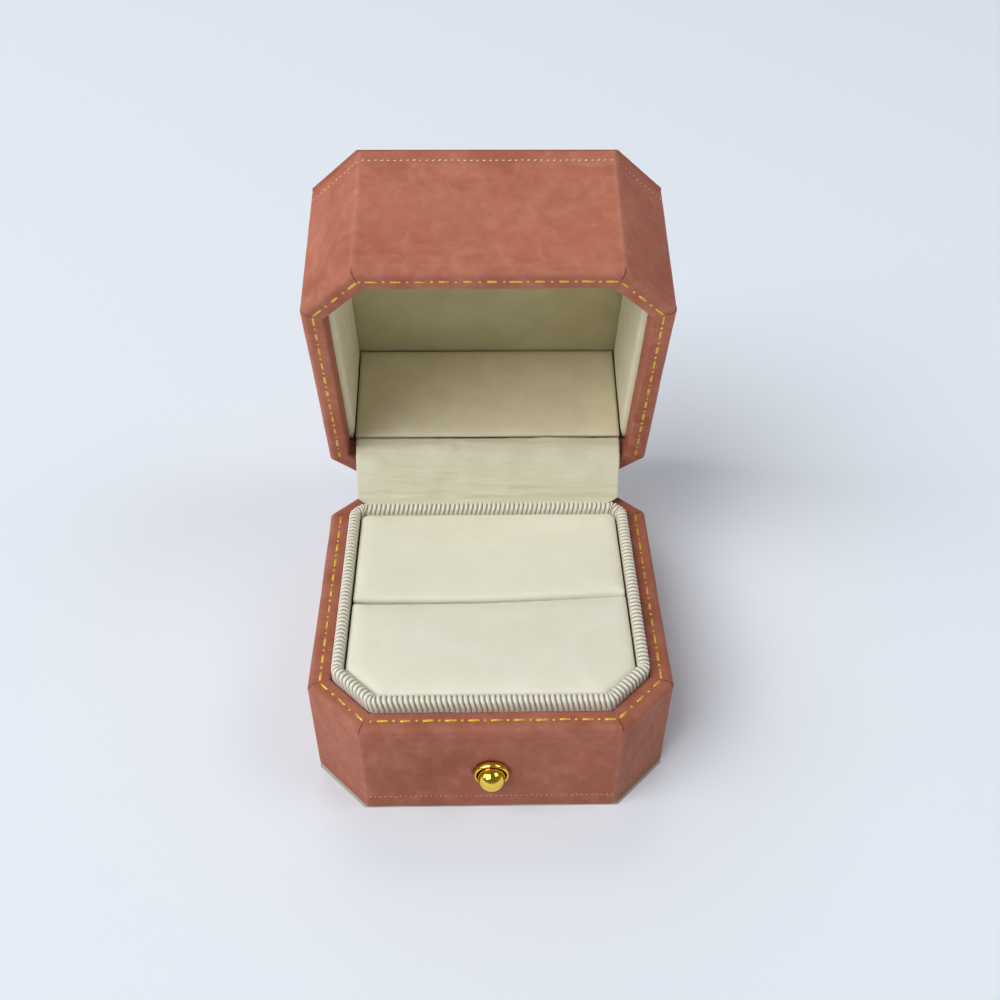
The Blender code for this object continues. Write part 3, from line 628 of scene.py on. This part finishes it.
def skin_relief(inset, drop, shown, past, points, line_drop):
    """How far each point of the leather stands out: soft waves, creased mitres and tooled lines."""
    on_rim = np.clip(1 - (drop - 0.2 * MM) / (1.7 * MM), 0, 1) * (inset < RIM)
    waves = 0.075 * MM * noise_of(points, 75) + 0.03 * MM * noise_of(points, 260, 5.0)
    outer = np.clip((GOLD_INSET - inset) / (0.5 * MM), 0.25, 1)
    crease = -0.2 * MM * outer * ridge(past, 0, 0.1 * MM)
    overlap = 0.09 * MM * outer * np.exp(-np.abs(past) / (1.3 * MM)) * (past > 0)
    gold_groove = -0.06 * MM * ridge(inset, GOLD_INSET, 0.3 * MM) * (drop < 0.05 * MM)
    fine_groove = -0.07 * MM * ridge(drop, line_drop, 0.22 * MM) * (inset < 0.1 * MM)
    bead = 0.05 * MM * ridge(drop, 1.1 * MM, 0.5 * MM) * (inset < 0.6 * MM)
    relief = waves + (crease + overlap) * on_rim + gold_groove + fine_groove + bead
    relief[shown:] = 0
    return relief, on_rim


def leather_skin(name, depth, line_drop, to_height):
    """A wrap of leather round a tray; to_height turns a drop from the rim's plane into a height."""
    section, shown = skin_section(depth, line_drop)
    steps = side_steps(octagon(0), 0.75 * MM)
    rows = [ring(octagon(inset), max(EDGE_ROUND - inset, 0.25 * MM), steps) for inset, drop in section]
    past = rows[0][:, 2][None, :]
    grid = np.array([[(x, y, to_height(drop)) for x, y, _ in row] for row, (_, drop) in zip(rows, section)])
    outward = np.concatenate([rows[6][:, :2], np.zeros((len(rows[6]), 1))], 1)
    normals = grid_normals(grid, outward)
    inset, drop = np.array(section).T[:, :, None]
    relief, on_rim = skin_relief(inset, drop, shown, past, grid, line_drop)
    obj = lattice(name, grid + normals * relief[:, :, None], wrap_rows=True)
    edge = 0.5 * ridge(np.hypot(inset - 0.3 * MM, drop - 0.3 * MM), 0, 0.7 * MM)
    upright = 0.8 * ridge(past, 0, 0.5 * MM) * (inset < 0.1 * MM)
    # Painted highlight: a pale line just below the bead on the outside of the wall.
    painted_highlight_line = 0.6 * ridge(drop, 1.7 * MM, 0.2 * MM) * (inset < 0.1 * MM)
    wear_and_highlight = np.clip(edge + upright + painted_highlight_line, 0, 1)
    outer = np.clip((GOLD_INSET - inset) / (0.5 * MM), 0.2, 1)
    # Painted shade along the mitre creases, fading towards the inside of the rim.
    shade = 0.9 * outer * ridge(past, 0, 0.13 * MM) * np.clip(on_rim, 0, 1)
    wear_and_highlight[shown:], shade[shown:] = 0, 0
    set_attribute(obj, "wear_and_highlight", wear_and_highlight)
    set_attribute(obj, "shade", shade)
    return obj


def hinge_notch(obj):
    """Leave room in both rims for the hinge's barrel."""
    reach, clear = BARREL[1].x + 3 * GAP, 1.23 * MM
    cut(obj, block_mesh((-reach, PIVOT.y - clear, PIVOT.z - clear), (reach, HALF + GAP, PIVOT.z + clear)))


def base_skin():
    depth = RIM_Z - FLANGE - 0.03 * MM
    obj = leather_skin("base_leather_skin", depth, RIM_Z - BASE_LINE, lambda drop: RIM_Z - drop)
    hinge_notch(obj)
    cut(obj, bore_mesh(BUTTON_HOLE, (0, -HALF, BUTTON_Z), 4 * LEATHER))
    low = (SLIDE[0].x - GAP, SLIDE[0].y - GAP, SLIDE[0].z - GAP)
    cut(obj, block_mesh(low, (SLIDE[1].x + GAP, -HALF + RIM + GAP, SLIDE[1].z + 0.5 * GAP)))
    dress(obj, BASE_SKIN_SHADED, "base", "nubuck", "base_leather")


def lid_skin():
    height = LID_TOP - LID_RIM_Z
    depth = height - FLANGE - 0.03 * MM
    obj = leather_skin("lid_leather_skin", depth, height - LID_LINE, lambda drop: LID_RIM_Z + drop)
    hinge_notch(obj)
    dress(obj, LID_SKIN, "lid", "nubuck", "lid_leather")


def plate(name, inner, shoulder, outer, bulge):
    """A closing panel: a core within the leather, and a thin flange that reaches its outside.

    inner, shoulder and outer are the heights of the core's face, the flange's step and the face that shows.
    """
    outline = octagon(0.1 * MM, CORNER_CUT - 0.62 * MM)
    steps = side_steps(outline, 1.2 * MM)
    flange = ring(outline, 0.5 * MM, steps)[:, :2]
    core = ring(octagon(LEATHER + 0.35 * MM), 0.5 * MM, steps)[:, :2]
    edge = 0.06 * MM
    away = math.copysign(1, outer - inner)
    rows = [level(core * share, inner) for share in (0.04, 0.5, 1)]
    rows += [level(core, shoulder), level(flange * 0.999, shoulder), level(flange, outer - away * edge)]
    for share in np.linspace(1, 0.04, 26):
        near_edge = min(1, (1 - share) * HALF / (1.5 * MM))
        rows.append(level(flange * share, outer + away * bulge * (math.sqrt(near_edge) - 1)))
    return stacked(name, rows)


def closing_panels():
    bottom = plate("base_bottom_paper", PANEL_HIGH.z, FLANGE, 0, 0)
    dress(bottom, PAPER, "base", "panel_paper", "base_bottom_panel")
    top = plate("lid_top_cover", shut_box("lid_top_panel")[0].z, LID_TOP - FLANGE, LID_TOP, 0.12 * MM)
    dress(top, LID_SKIN, "lid", "nubuck", "lid_top_panel")


# ---- stamped lines

def pill():
    """Vertices and faces of a unit ball, whose halves a stitch draws apart."""
    bm = bmesh.new()
    bmesh.ops.create_uvsphere(bm, u_segments=10, v_segments=6, radius=0.5)
    points = np.array([vertex.co for vertex in bm.verts])
    faces = [[vertex.index for vertex in face.verts] for face in bm.faces]
    bm.free()
    return points, faces


PILL = pill()


def stitch(centre, along, out, length, width, height):
    """Points of a rounded stitch lying on a surface whose outward direction is out."""
    across = out.cross(along).normalized()
    local = PILL[0] * (width, width, height)
    local[:, 0] += np.sign(np.round(local[:, 0], 7)) * (length - width) / 2
    return local @ np.array((along, across, out)) + np.array(centre)


def gold_line(name, height, out_z, material, body, seed, lead, shortest):
    """Dashes with dots between them along the rim: left side, front-left, front, front-right, right side.

    lead is the length before the front's first dash, with a dot in it; shortest is the least share of a dash.
    """
    chance = random.Random(seed)
    period, dash, dot, width, end_gap = 3.95 * MM, 2.15 * MM, 0.6 * MM, 0.56 * MM, 0.25 * MM
    out = Vector((0, 0, out_z))
    stitches = []
    for side, (start, end) in enumerate(sides_of(octagon(GOLD_INSET), 6, 5)):
        direction = end - start
        length = direction.length
        along = Vector((*direction.normalized(), 0))
        skipped = lead if side == 2 else 0.0
        first = skipped + end_gap + dash / 2
        run = length - skipped - dash - 2 * end_gap
        count = max(1, round(run / period))
        step = run / count
        for k in range(count + 1):
            middle = first + k * step
            marks = [(0, dash), (step / 2, dot)]
            if skipped and k == 0:
                marks.append((-step / 2, dot))
            for offset, size in marks:
                if middle + offset > length:
                    continue
                at = start + direction.normalized() * (middle + offset)
                jitter = chance.uniform(-0.05, 0.05) * MM
                centre = Vector((at.x, at.y + jitter, height))
                long = size * chance.uniform(shortest, 1.06)
                wide = width * chance.uniform(0.75, 1.05)
                stitches.append(stitch(centre, along, out, max(long, wide), wide, 0.16 * MM))
    finish_line(name, stitches, material, body)


def fine_line(name, height, material, body, seed, pitch, length, width):
    """A line of fine slanted stitches all round the walls, stamped more lightly on the cut corners."""
    chance = random.Random(seed)
    end_gap = 0.7 * MM
    stitches = []
    for side, (start, end) in enumerate(sides_of(octagon(0), 0, 8)):
        press = 0.7 if side % 2 else 1.0
        direction = (end - start).normalized()
        out = Vector((direction.y, -direction.x, 0))
        run = (end - start).length - 2 * end_gap
        count = round(run / pitch)
        for k in range(count + 1):
            at = start + direction * (end_gap + run * k / count)
            slant = 0.35 + chance.uniform(-0.15, 0.15)
            along = Vector((direction.x, direction.y, slant)).normalized()
            rise = height + chance.uniform(-0.05, 0.05) * MM
            centre = Vector((at.x, at.y, rise)) - out * 0.035 * MM
            long = press * length * chance.uniform(0.7, 1.1)
            stitches.append(stitch(centre, along, out, long, press * width, press * 0.15 * MM))
    finish_line(name, stitches, material, body)


def finish_line(name, stitches, material, body):
    size = len(PILL[0])
    faces = [[k * size + index for index in face] for k in range(len(stitches)) for face in PILL[1]]
    mesh = bpy.data.meshes.new(name)
    mesh.from_pydata(np.concatenate(stitches).tolist(), [], faces)
    dress(as_object(name, mesh), material, body, "gold_plate")


def stamped_lines():
    sunk = 0.03 * MM
    gold_line("base_gold_line", RIM_Z - sunk, 1, BASE_FOIL, "base", 3, 1.8 * MM, 0.86)
    gold_line("lid_gold_line", LID_RIM_Z + sunk, -1, LID_FOIL, "lid", 4, 1.0 * MM, 0.72)
    fine_line("base_fine_line", BASE_LINE, BASE_THREAD, "base", 5, 0.92 * MM, 0.46 * MM, 0.24 * MM)
    # The lid's line uses the paler, painted-highlight colour.
    fine_line("lid_fine_line", LID_TOP - LID_LINE, LID_THREAD_HIGHLIGHT, "lid", 6, 1.14 * MM, 0.58 * MM, 0.27 * MM)


# ---- ribbed edging

def ribbed_edging():
    """Ribbed ribbon bent over the collar's edge, its ribs square to the edge and slightly bowed."""
    low, skirt = EDGING_LOW.z, 0.22 * MM
    half = EDGING_WIDTH / 2
    shoulder = EDGING_HIGH.z - half
    section = [(-skirt, z, 0) for z in np.linspace(EDGING_FOOT, shoulder, 9)[:-1]]
    for angle in np.linspace(0, math.pi, 17):
        proud = skirt * (1 + math.cos(angle)) / 2
        section.append((half - half * math.cos(angle) - proud, shoulder + half * math.sin(angle), angle))
    section += [(EDGING_WIDTH, z, math.pi) for z in np.linspace(shoulder, low, 6)[1:]]
    hidden = [(EDGING_WIDTH - 0.5 * MM, low, math.pi), (0.0, low, 0), (0.0, EDGING_FOOT, 0)]
    section += hidden
    radius, rib_depth = 2.5 * MM, 0.3 * MM
    base_ring = evenly(collar_outline(COLLAR_INSET - skirt), radius)
    count = len(base_ring)
    ribs = round(count / RIB_STEPS)
    rows, groove_shades, feet = [], [], []
    seen = len(section) - len(hidden)
    for index, (inset, z, angle) in enumerate(section):
        line = evenly(collar_outline(COLLAR_INSET + inset), max(radius - inset, 0.5 * MM), base_ring)
        share = min(index / (seen - 1), 1)
        bow = 0.75 * math.sin(math.pi * share) + 0.4 * share
        phase = (np.arange(count) * ribs / count + bow) % 1
        aside = np.abs(2 * phase - 1)
        lobe = np.sqrt(np.clip(1 - (aside / 0.8) ** 2, 0, 1))
        depth = 0.0 if index >= seen else 1 - 0.7 * max(0.0, share - 0.75) / 0.25
        sink = rib_depth * depth * (1 - lobe)
        xy = line[:, :2] - line[:, 2:4] * (sink * math.cos(angle))[:, None]
        rows.append(np.c_[xy, np.full(count, z) - sink * math.sin(angle)])
        # Painted shade in the hollows between the ribs.
        groove_shades.append(depth * np.clip((aside - 0.52) / 0.3, 0, 1))
        feet.append(np.full(count, max(0.0, 1 - (z - RIM_Z) / (1.3 * MM)) if share < 0.5 else 0.0))
    obj = lattice("ribbed_edging", np.array(rows), wrap_rows=True)
    set_attribute(obj, "groove_shade", np.array(groove_shades))
    set_attribute(obj, "foot", np.array(feet))
    dress(obj, RIBBED, "base", "ribbed_satin", "collar_edging")


def evenly(corners, radius, like=None):
    """Rows of x, y, outward direction, piece and share of it, at even steps round a rounded polygon.

    A piece is a corner's arc or a side. With like, another such ring, the pieces and shares are that ring's.
    """
    pieces = []
    for i, corner in enumerate(corners):
        centre, spoke, turn, ahead, reach = rounding(corners, i, radius)
        pieces.append(("arc", centre, spoke, turn, radius * turn))
        after = (i + 1) % len(corners)
        start, stop = corner + ahead * reach, corners[after] - ahead * rounding(corners, after, radius)[4]
        pieces.append(("line", start, stop, Vector((ahead.y, -ahead.x)), (stop - start).length))
    if like is None:
        lengths = np.array([piece[4] for piece in pieces])
        ends = lengths.cumsum()
        steps = RIB_STEPS * round(ends[-1] / RIB_PITCH)
        places = np.arange(steps) * ends[-1] / steps
        found = np.searchsorted(ends, places, "right")
        keys = zip(found, 1 - (ends[found] - places) / lengths[found])
    else:
        keys = [(int(row[4]), row[5]) for row in like]
    rows = []
    for index, share in keys:
        kind, first, second, third, _ = pieces[index]
        if kind == "arc":
            spoke = Vector(swing(second, third * share))
            point, out = first + spoke, spoke.normalized()
        else:
            point, out = first.lerp(second, share), third
        rows.append((point.x, point.y, out.x, out.y, index, share))
    return np.array(rows)


# ---- ring pads

def pad_outline(box, front, inset):
    """The pad's corners in plan: it fills the collar in front of the slot, or behind it."""
    corners = octagon(inset) if front else collar_outline(inset)
    slot_side = [Vector((x, box[1 if front else 0].y)) for x in (HALF - inset, inset - HALF)]
    if front:
        return [corners[7], *corners[:3], *slot_side]
    return [*slot_side[::-1], *corners[3:7]]


def swell(obj, cap, pinned_below, scale=20):
    """Blow the cover up a little by cloth simulation, done at a larger scale, and keep the result."""
    rest = points_of(obj)
    group = obj.vertex_groups.new(name="pinned")
    group.add([i for i, co in enumerate(rest) if co[2] < pinned_below], 1.0, "REPLACE")
    obj.data.transform(Matrix.Scale(scale, 4))
    cloth = obj.modifiers.new("cloth", "CLOTH")
    cloth.settings.use_pressure = True
    cloth.settings.uniform_pressure_force = 4
    cloth.settings.effector_weights.gravity = 0
    cloth.settings.vertex_group_mass = "pinned"
    for frame_number in range(1, 21):
        bpy.context.scene.frame_set(frame_number)
    blown = points_of(evaluated(obj)) / scale
    bpy.context.scene.frame_set(1)
    obj.modifiers.clear()
    obj.vertex_groups.clear()
    move = blown - rest
    size = np.linalg.norm(move, axis=1, keepdims=True)
    move *= np.minimum(1, cap / np.maximum(size, 1e-9))
    move_points(obj, rest + move)


def ring_pad(name, box, front, *nodes):
    """A foam pad in velvet: swollen, rolled at the slot, soft at its other edges."""
    low, top = box[0].z, box[1].z - 0.15 * MM
    outline = pad_outline(box, front, HALF - box[1].x - 0.28 * MM)
    bm = bmesh.new()
    face = bm.faces.new([bm.verts.new((*point, low)) for point in outline])
    drawn = bmesh.ops.extrude_face_region(bm, geom=[face])
    tops = [item for item in drawn["geom"] if isinstance(item, bmesh.types.BMVert)]
    bmesh.ops.translate(bm, verts=tops, vec=(0, 0, top - low))
    bmesh.ops.recalc_face_normals(bm, faces=bm.faces)
    upper = [edge for edge in bm.edges if all(vertex.co.z > low + MM for vertex in edge.verts)]
    bmesh.ops.bevel(
        bm, geom=upper, offset=1.0 * MM, offset_type="OFFSET", segments=3, affect="EDGES", profile=0.5,
    )
    obj = as_object(name, new_mesh(name, bm))
    remesh = obj.modifiers.new("remesh", "REMESH")
    remesh.mode = "VOXEL"
    remesh.voxel_size = PAD_VOXEL
    remesh.use_smooth_shade = True
    apply_modifiers(obj)
    swell(obj, 0.25 * MM, box[1].z - 4.5 * MM)
    soften(obj, box, front)
    subdivide = obj.modifiers.new("smooth", "SUBSURF")
    subdivide.levels = subdivide.render_levels = 1
    apply_modifiers(obj)
    obj.data.shade_smooth()
    dress(obj, PAD_VELVET, "base", "cream_velvet", *nodes)


def soften(obj, box, front):
    """Press the pads together at the slot, along a slight curve, and let their tops lie a little uneven."""
    slot_y = (FRONT_PAD[1].y + REAR_PAD[0].y) / 2
    points = points_of(obj)
    x, y, z = points.T
    near = np.exp(-np.abs(y - slot_y) / (4 * MM))
    high = np.clip((z - box[1].z + 5 * MM) / (5 * MM), 0, 1)
    arch, slant, closing = 0.8 * MM, 1.1 * MM, 0.22 * MM
    bow = slant * x / (25 * MM) - arch * np.cos(x / (15 * MM))
    press = (closing if front else -closing) * (np.abs(y - slot_y) < 2 * MM)
    points[:, 1] += high * (near * bow + press)
    lift = 0.1 * MM * noise_of(points, 130) + 0.04 * MM * noise_of(points, 380, 9.0)
    dish = 0.33 * MM * ridge(y, slot_y, 7 * MM) * np.cos(np.clip(x / (20 * MM), -1, 1) * math.pi / 2)
    points[:, 2] += high * (lift if front else lift - dish)
    move_points(obj, points)


# ---- lid lining

def slab(name, front, back):
    """A closed board between two grids of the same shape."""
    return lattice(name, np.concatenate([front, back[:, ::-1]], 1), ends=True)


def lining_board(name, outer, inner, low, high, puff, steps=(30, 30)):
    """A board along one side of the lid: outer and inner are its two plan edges, the inner face is padded."""
    u = np.linspace(0, 1, steps[0] + 1)
    v = np.linspace(0, 1, steps[1] + 1)
    pillow = (1 - np.abs(2 * u - 1)[None, :] ** 20) * (1 - np.abs(2 * v - 1)[:, None] ** 20)
    outer, inner = np.array(outer), np.array(inner)
    out_line, in_line = (edge[0] + (edge[1] - edge[0]) * u[:, None] for edge in (outer, inner))
    depth = (in_line - out_line)[None]
    share = (1 - puff + puff * pillow)[:, :, None]
    heights = low + (high - low) * v
    front_xy = out_line[None] + depth * share
    front = np.concatenate([front_xy, np.broadcast_to(heights[:, None, None], front_xy.shape[:2] + (1,))], 2)
    towards = depth[0, 0] / np.linalg.norm(depth[0, 0])
    ripple = 0.05 * MM * noise_of(front, 140) + 0.03 * MM * noise_of(front, 420, 3.0)
    front[:, :, :2] += (ripple * pillow)[:, :, None] * towards
    back_xy = np.broadcast_to(out_line[None], front_xy.shape)
    back = np.concatenate([back_xy, front[:, :, 2:]], 2)
    return slab(name, front, back)


def lid_lining():
    low, high = LINING_FRONT[0].z - 0.8 * GAP, LINING_FRONT[1].z
    inset = HALF + LINING_FRONT[0].y
    thick = LINING_FRONT[1].y - LINING_FRONT[0].y
    outer, inner = octagon(inset), octagon(inset + thick)
    for name, start, end in (("front", 0, 1), ("front_right", 1, 2), ("front_left", 7, 0)):
        board = "lid_lining_" + name
        ease = (outer[end] - outer[start]).normalized() * GAP / 2
        edges = [(outer[start] + ease, outer[end] - ease), (inner[start] + ease, inner[end] - ease)]
        obj = lining_board(board + "_cloth", *edges, low, high, 0.25)
        dress(obj, SIDE_CLOTH, "lid", "cream_satin", board)
    rear = LINING_SIDE[1].y
    for name, side in (("right", 1), ("left", -1)):
        edges = []
        for corners in (outer, inner):
            x = side * corners[2].x
            edges.append((Vector((x, corners[2].y + GAP / 2)), Vector((x, rear))))
        obj = lining_board(f"lid_lining_{name}_cloth", *edges, low, high, 0.25, (50, 30))
        dress(obj, SIDE_CLOTH, "lid", "cream_satin", "lid_lining_" + name)
    reach = LINING_REAR[1].x + 0.7 * GAP
    edges = [(Vector((-reach, corner.y)), Vector((reach, corner.y))) for corner in reversed(LINING_REAR)]
    heights = [corner.z for corner in LINING_REAR]
    obj = lining_board("lid_lining_rear_satin", *edges, *heights, 0.3, (80, 50))
    dress(obj, REAR_SATIN, "lid", "cream_satin", "lid_lining_rear")
    lid_lining_top()


def lid_lining_top():
    """The velvet panel inside the lid's top, its face a little proud and uneven along its edges."""
    inset = HALF - LINING_TOP[1].x
    low, high = LINING_TOP[0].z, LINING_TOP[1].z
    outline = octagon(inset)
    line = ring(outline, 0.5 * MM, side_steps(outline, 1.0 * MM))[:, :2]
    rows = [level(line * share, high) for share in (0.04, 0.5, 1)]
    for share in np.linspace(1, 0.04, 30):
        points = level(line * share, low)
        points[:, 2] += 0.1 * MM if share == 1 else 0.05 * MM * noise_of(points, 90)
        rows.append(points)
    # Its velvet is the pads' cream darkened as painted shade.
    dress(stacked("lid_lining_top_velvet", rows), TOP_VELVET_SHADED, "lid", "cream_velvet", "lid_lining_top")


# ---- satin strip over the hinge

def bezier(controls, t):
    weights = ((1 - t) ** 3, 3 * t * (1 - t) ** 2, 3 * t * t * (1 - t), t ** 3)
    return sum((weight * Vector(point) for weight, point in zip(weights, controls)), Vector((0, 0)))


def satin_strip():
    """Satin from behind the collar over its edge and up to the lid's rear lining, slightly creased."""
    thick = 0.35 * MM
    start_y = (EDGING_HIGH.y + STRIP_LOW.y) / 2 + 0.4 * MM
    lining_y = (LINING_REAR[0].y + LINING_REAR[1].y) / 2
    end = TIP_BACK @ Vector((0, lining_y, LINING_REAR[0].z - GAP - 0.25 * MM))
    over = [(start_y, RIM_Z + 1.4 * MM), (26.6 * MM, 27.6 * MM), (26.6 * MM, 35.4 * MM), (end.y, end.z)]
    tucked = [Vector((start_y, z)) for z in np.linspace(STRIP_LOW.z, RIM_Z, 16)]
    path = tucked + [bezier(over, step / 60) for step in range(61)]
    u = np.linspace(-1, 1, 121)
    rows = []
    for index, point in enumerate(path):
        ahead = path[min(index + 1, len(path) - 1)] - path[max(index - 1, 0)]
        out = Vector((-ahead.y, ahead.x)).normalized()
        free = min(1, max(0, (index - len(tucked)) / 6))
        half = (25.0 + 2.0 * free) * MM
        ragged = [1 + 0.004 * free * noise.noise(Vector((side, index * 0.35, 2.0))) for side in (-1, 1)]
        row = []
        for share in u:
            x = half * share * (ragged[0] if share < 0 else ragged[1])
            spot = Vector((x * 110, index * 0.22, 0))
            crease = noise.noise(spot) * 0.18 + noise.noise(spot * 2.7 + Vector((9, 0, 0))) * 0.1
            lift = out * crease * free * MM * (1 - abs(share) ** 12 * 0.5)
            row.append((x, point.x + lift.x, point.y + lift.y, out.x, out.y))
        rows.append(row)
    grid = np.array(rows)
    normal = np.concatenate([np.zeros(grid.shape[:2] + (1,)), grid[:, :, 3:]], 2)
    centre = grid[:, :, :3]
    obj = slab("satin_hinge_cloth", centre - normal * thick / 2, centre + normal * thick / 2)
    obj.data.materials.append(STRIP_SATIN)
    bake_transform(obj)
    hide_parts("satin_hinge_strip")


# ---- push button

def turned(name, profile, steps=72, closed=False):
    """A profile turned about the button's axis, as radii and distances out from the front wall."""
    angles = np.linspace(0, 2 * math.pi, steps, endpoint=False)
    rows = [[(radius * math.cos(a), -HALF - out, BUTTON_Z + radius * math.sin(a)) for a in angles]
            for radius, out in profile]
    return lattice(name, np.array(rows), wrap_rows=True) if closed else stacked(name, rows)


def push_button():
    lip = (ESCUTCHEON[1].x - ESCUTCHEON[0].x) / 2
    crest = -HALF - ESCUTCHEON[0].y
    cup, wall, bore = lip - 0.65 * MM, lip - 0.4 * MM, 1.1 * MM
    seat = 0.4 * GAP
    profile = [(lip - 0.05 * MM, seat)]
    shoulder = 0.25 * MM
    middle, half = (lip + cup) / 2, (lip - cup) / 2
    for angle in np.linspace(0, math.pi, 15):
        profile.append((middle + half * math.cos(angle), shoulder + (crest - shoulder) * math.sin(angle)))
    back = -HALF - ESCUTCHEON[1].y
    floor = back + 0.45 * MM
    profile += [(cup, floor + 0.15 * MM), (cup - 0.15 * MM, floor), (bore, floor)]
    profile += [(bore, back), (wall, back), (wall, seat)]
    escutcheon = turned("button_escutcheon_gold", profile, closed=True)
    dress(escutcheon, GOLD, "base", "gold_plate", "button_escutcheon")
    solid = (KNOB[1].x - KNOB[0].x) / 2
    centre = -HALF - KNOB[0].y - solid
    ball = solid + 0.1 * MM
    stem, tip, pole = 1.0 * MM, 0.6 * MM, 0.02 * MM
    knob = [(pole, centre + ball)]
    for angle in np.linspace(0.03, math.pi - math.asin(stem / ball), 40):
        knob.append((ball * math.sin(angle), centre + ball * math.cos(angle)))
    end = -HALF - KNOB[1].y
    knob += [(stem, back), (tip, back), (tip, end), (pole, end)]
    dress(turned("button_knob_gold", knob), GOLD, "button", "gold_plate", "button_knob")


def catch_spring():
    """The bowed leaf spring behind the catch's slide, which is pressed flat as the button goes in."""
    low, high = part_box("catch_spring")
    thick = 0.3 * MM
    x = np.linspace(low.x, high.x, 61)
    flat, foot = 2.4 * MM, 6.2 * MM
    share = np.clip((foot - np.abs(x)) / (foot - flat), 0, 1)
    y = high.y - thick / 2 - (high.y - low.y - thick) * (1 - np.cos(math.pi * share)) / 2
    ahead = np.gradient(y, x)
    across = np.c_[-ahead, np.ones(len(x))] / np.hypot(ahead, 1)[:, None] * thick / 2
    sides = []
    for side in (-1, 1):
        line = np.c_[x + side * across[:, 0], y + side * across[:, 1]]
        sides.append(np.array([level(line, z) for z in np.linspace(low.z, high.z, 9)]))
    obj = slab("catch_spring_steel", *sides)
    dress(obj, STEEL, "base", "hinge_steel", "catch_spring")
    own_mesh(obj)


# ---- CAD nodes that keep their shape

KEPT = {
    BOARD: ("base_frame", "lid_frame", "collar_wall", "insert_card"),
    STEEL: (
        "base_hinge_leaf", "lid_hinge_leaf", "hinge_pin", "hinge_spring", "catch_slide", "lid_keeper",
        "base_rivet_left", "base_rivet_right", "lid_rivet_left", "lid_rivet_right",
    ),
    MAGNET: ("catch_magnet",),
}


def finish_kept_nodes():
    for material, names in KEPT.items():
        for name in names:
            for material_slot in NODES[name].material_slots:
                material_slot.material = material


# ---- stage, lights and camera

def stage():
    bpy.context.scene.view_settings.view_transform = "Standard"
    bpy.ops.mesh.primitive_plane_add(size=10)
    floor = bpy.context.object
    floor.name = "floor"
    m = Nodes("floor", roughness=0.9, specular=0.1)
    m.set("Base Color", (*FLOOR, 1))
    distance = m.add("ShaderNodeVectorMath", {0: m.place()}, operation="LENGTH").outputs["Value"]
    m.set("Emission Color", (*BACKDROP, 1))
    m.set("Emission Strength", m.spread(distance, 0.8, 3.0, 0.0, 0.72))
    floor.data.materials.append(m.material)
    studio()


def studio():
    """A plain pale backdrop, and a room that dims overhead, so that gold has something to mirror."""
    world = bpy.data.worlds.new("studio")
    world.use_nodes = True
    tree = world.node_tree
    where = tree.nodes.new("ShaderNodeTexCoord")
    split = tree.nodes.new("ShaderNodeSeparateXYZ")
    ramp = tree.nodes.new("ShaderNodeValToRGB")
    tree.links.new(where.outputs["Generated"], split.inputs[0])
    tree.links.new(split.outputs["Z"], ramp.inputs["Fac"])
    seen = tree.nodes.new("ShaderNodeLightPath")
    mix = tree.nodes.new("ShaderNodeMixRGB")
    mix.inputs["Color2"].default_value = (*BACKDROP, 1)
    tree.links.new(seen.outputs["Is Camera Ray"], mix.inputs["Fac"])
    tree.links.new(ramp.outputs["Color"], mix.inputs["Color1"])
    tree.links.new(mix.outputs["Color"], tree.nodes["Background"].inputs["Color"])
    stops = ramp.color_ramp.elements
    stops.new(0.1)
    for stop, position, colour in zip(stops, (0.0, 0.1, 0.35), (ROOM_LOW, ROOM_MID, ROOM_HIGH)):
        stop.position, stop.color = position, (*colour, 1)
    bpy.context.scene.world = world


def softbox(name, direction, size, power, distance=3.0):
    """A square light facing the case, turned on its corner so that its edges don't line up with the lid's."""
    data = bpy.data.lights.new(name, "AREA")
    data.shape = "SQUARE"
    data.size = size
    data.energy = power
    light = linked(name, data)
    towards = Vector(direction).normalized()
    light.location = Vector((0, 0, 0.04)) + towards * distance
    light.rotation_euler = towards.to_track_quat("Z", "Y").to_euler()
    light.rotation_euler.rotate_axis("Z", math.pi / 4)


def lights():
    softbox("key", (-0.50, -0.42, 0.76), 2.0, 62)
    softbox("right", (0.62, -0.10, 0.78), 1.4, 12)
    softbox("back", (-0.10, 0.60, 0.80), 1.5, 15)
    softbox("left", (-0.85, -0.12, 0.50), 1.4, 11)


def camera():
    """Above the front, looking down on the open case."""
    yaw, pitch, roll = 0.0246, 0.7288, 0.0098
    data = bpy.data.cameras.new("camera")
    data.sensor_width = 36
    data.lens = 40.14
    data.clip_start = 0.005
    cam = linked("camera", data)
    place = (-0.00182, -0.14831, 0.17922)
    ahead = Vector((math.sin(yaw) * math.cos(pitch), math.cos(yaw) * math.cos(pitch), -math.sin(pitch)))
    level = Vector((math.cos(yaw), -math.sin(yaw), 0))
    above = level.cross(ahead)
    right = level * math.cos(roll) + above * math.sin(roll)
    up = above * math.cos(roll) - level * math.sin(roll)
    facing = Matrix((right, up, -ahead)).transposed().to_4x4()
    cam.matrix_world = Matrix.Translation(place) @ facing
    bpy.context.scene.camera = cam


camera()
base_skin()
lid_skin()
closing_panels()
stamped_lines()
ribbed_edging()
ring_pad("front_ring_pad", FRONT_PAD, True, "front_pad_cover", "front_pad_foam")
ring_pad("rear_ring_pad", REAR_PAD, False, "rear_pad_cover", "rear_pad_foam")
lid_lining()
satin_strip()
push_button()
catch_spring()
finish_kept_nodes()
stage()
lights()
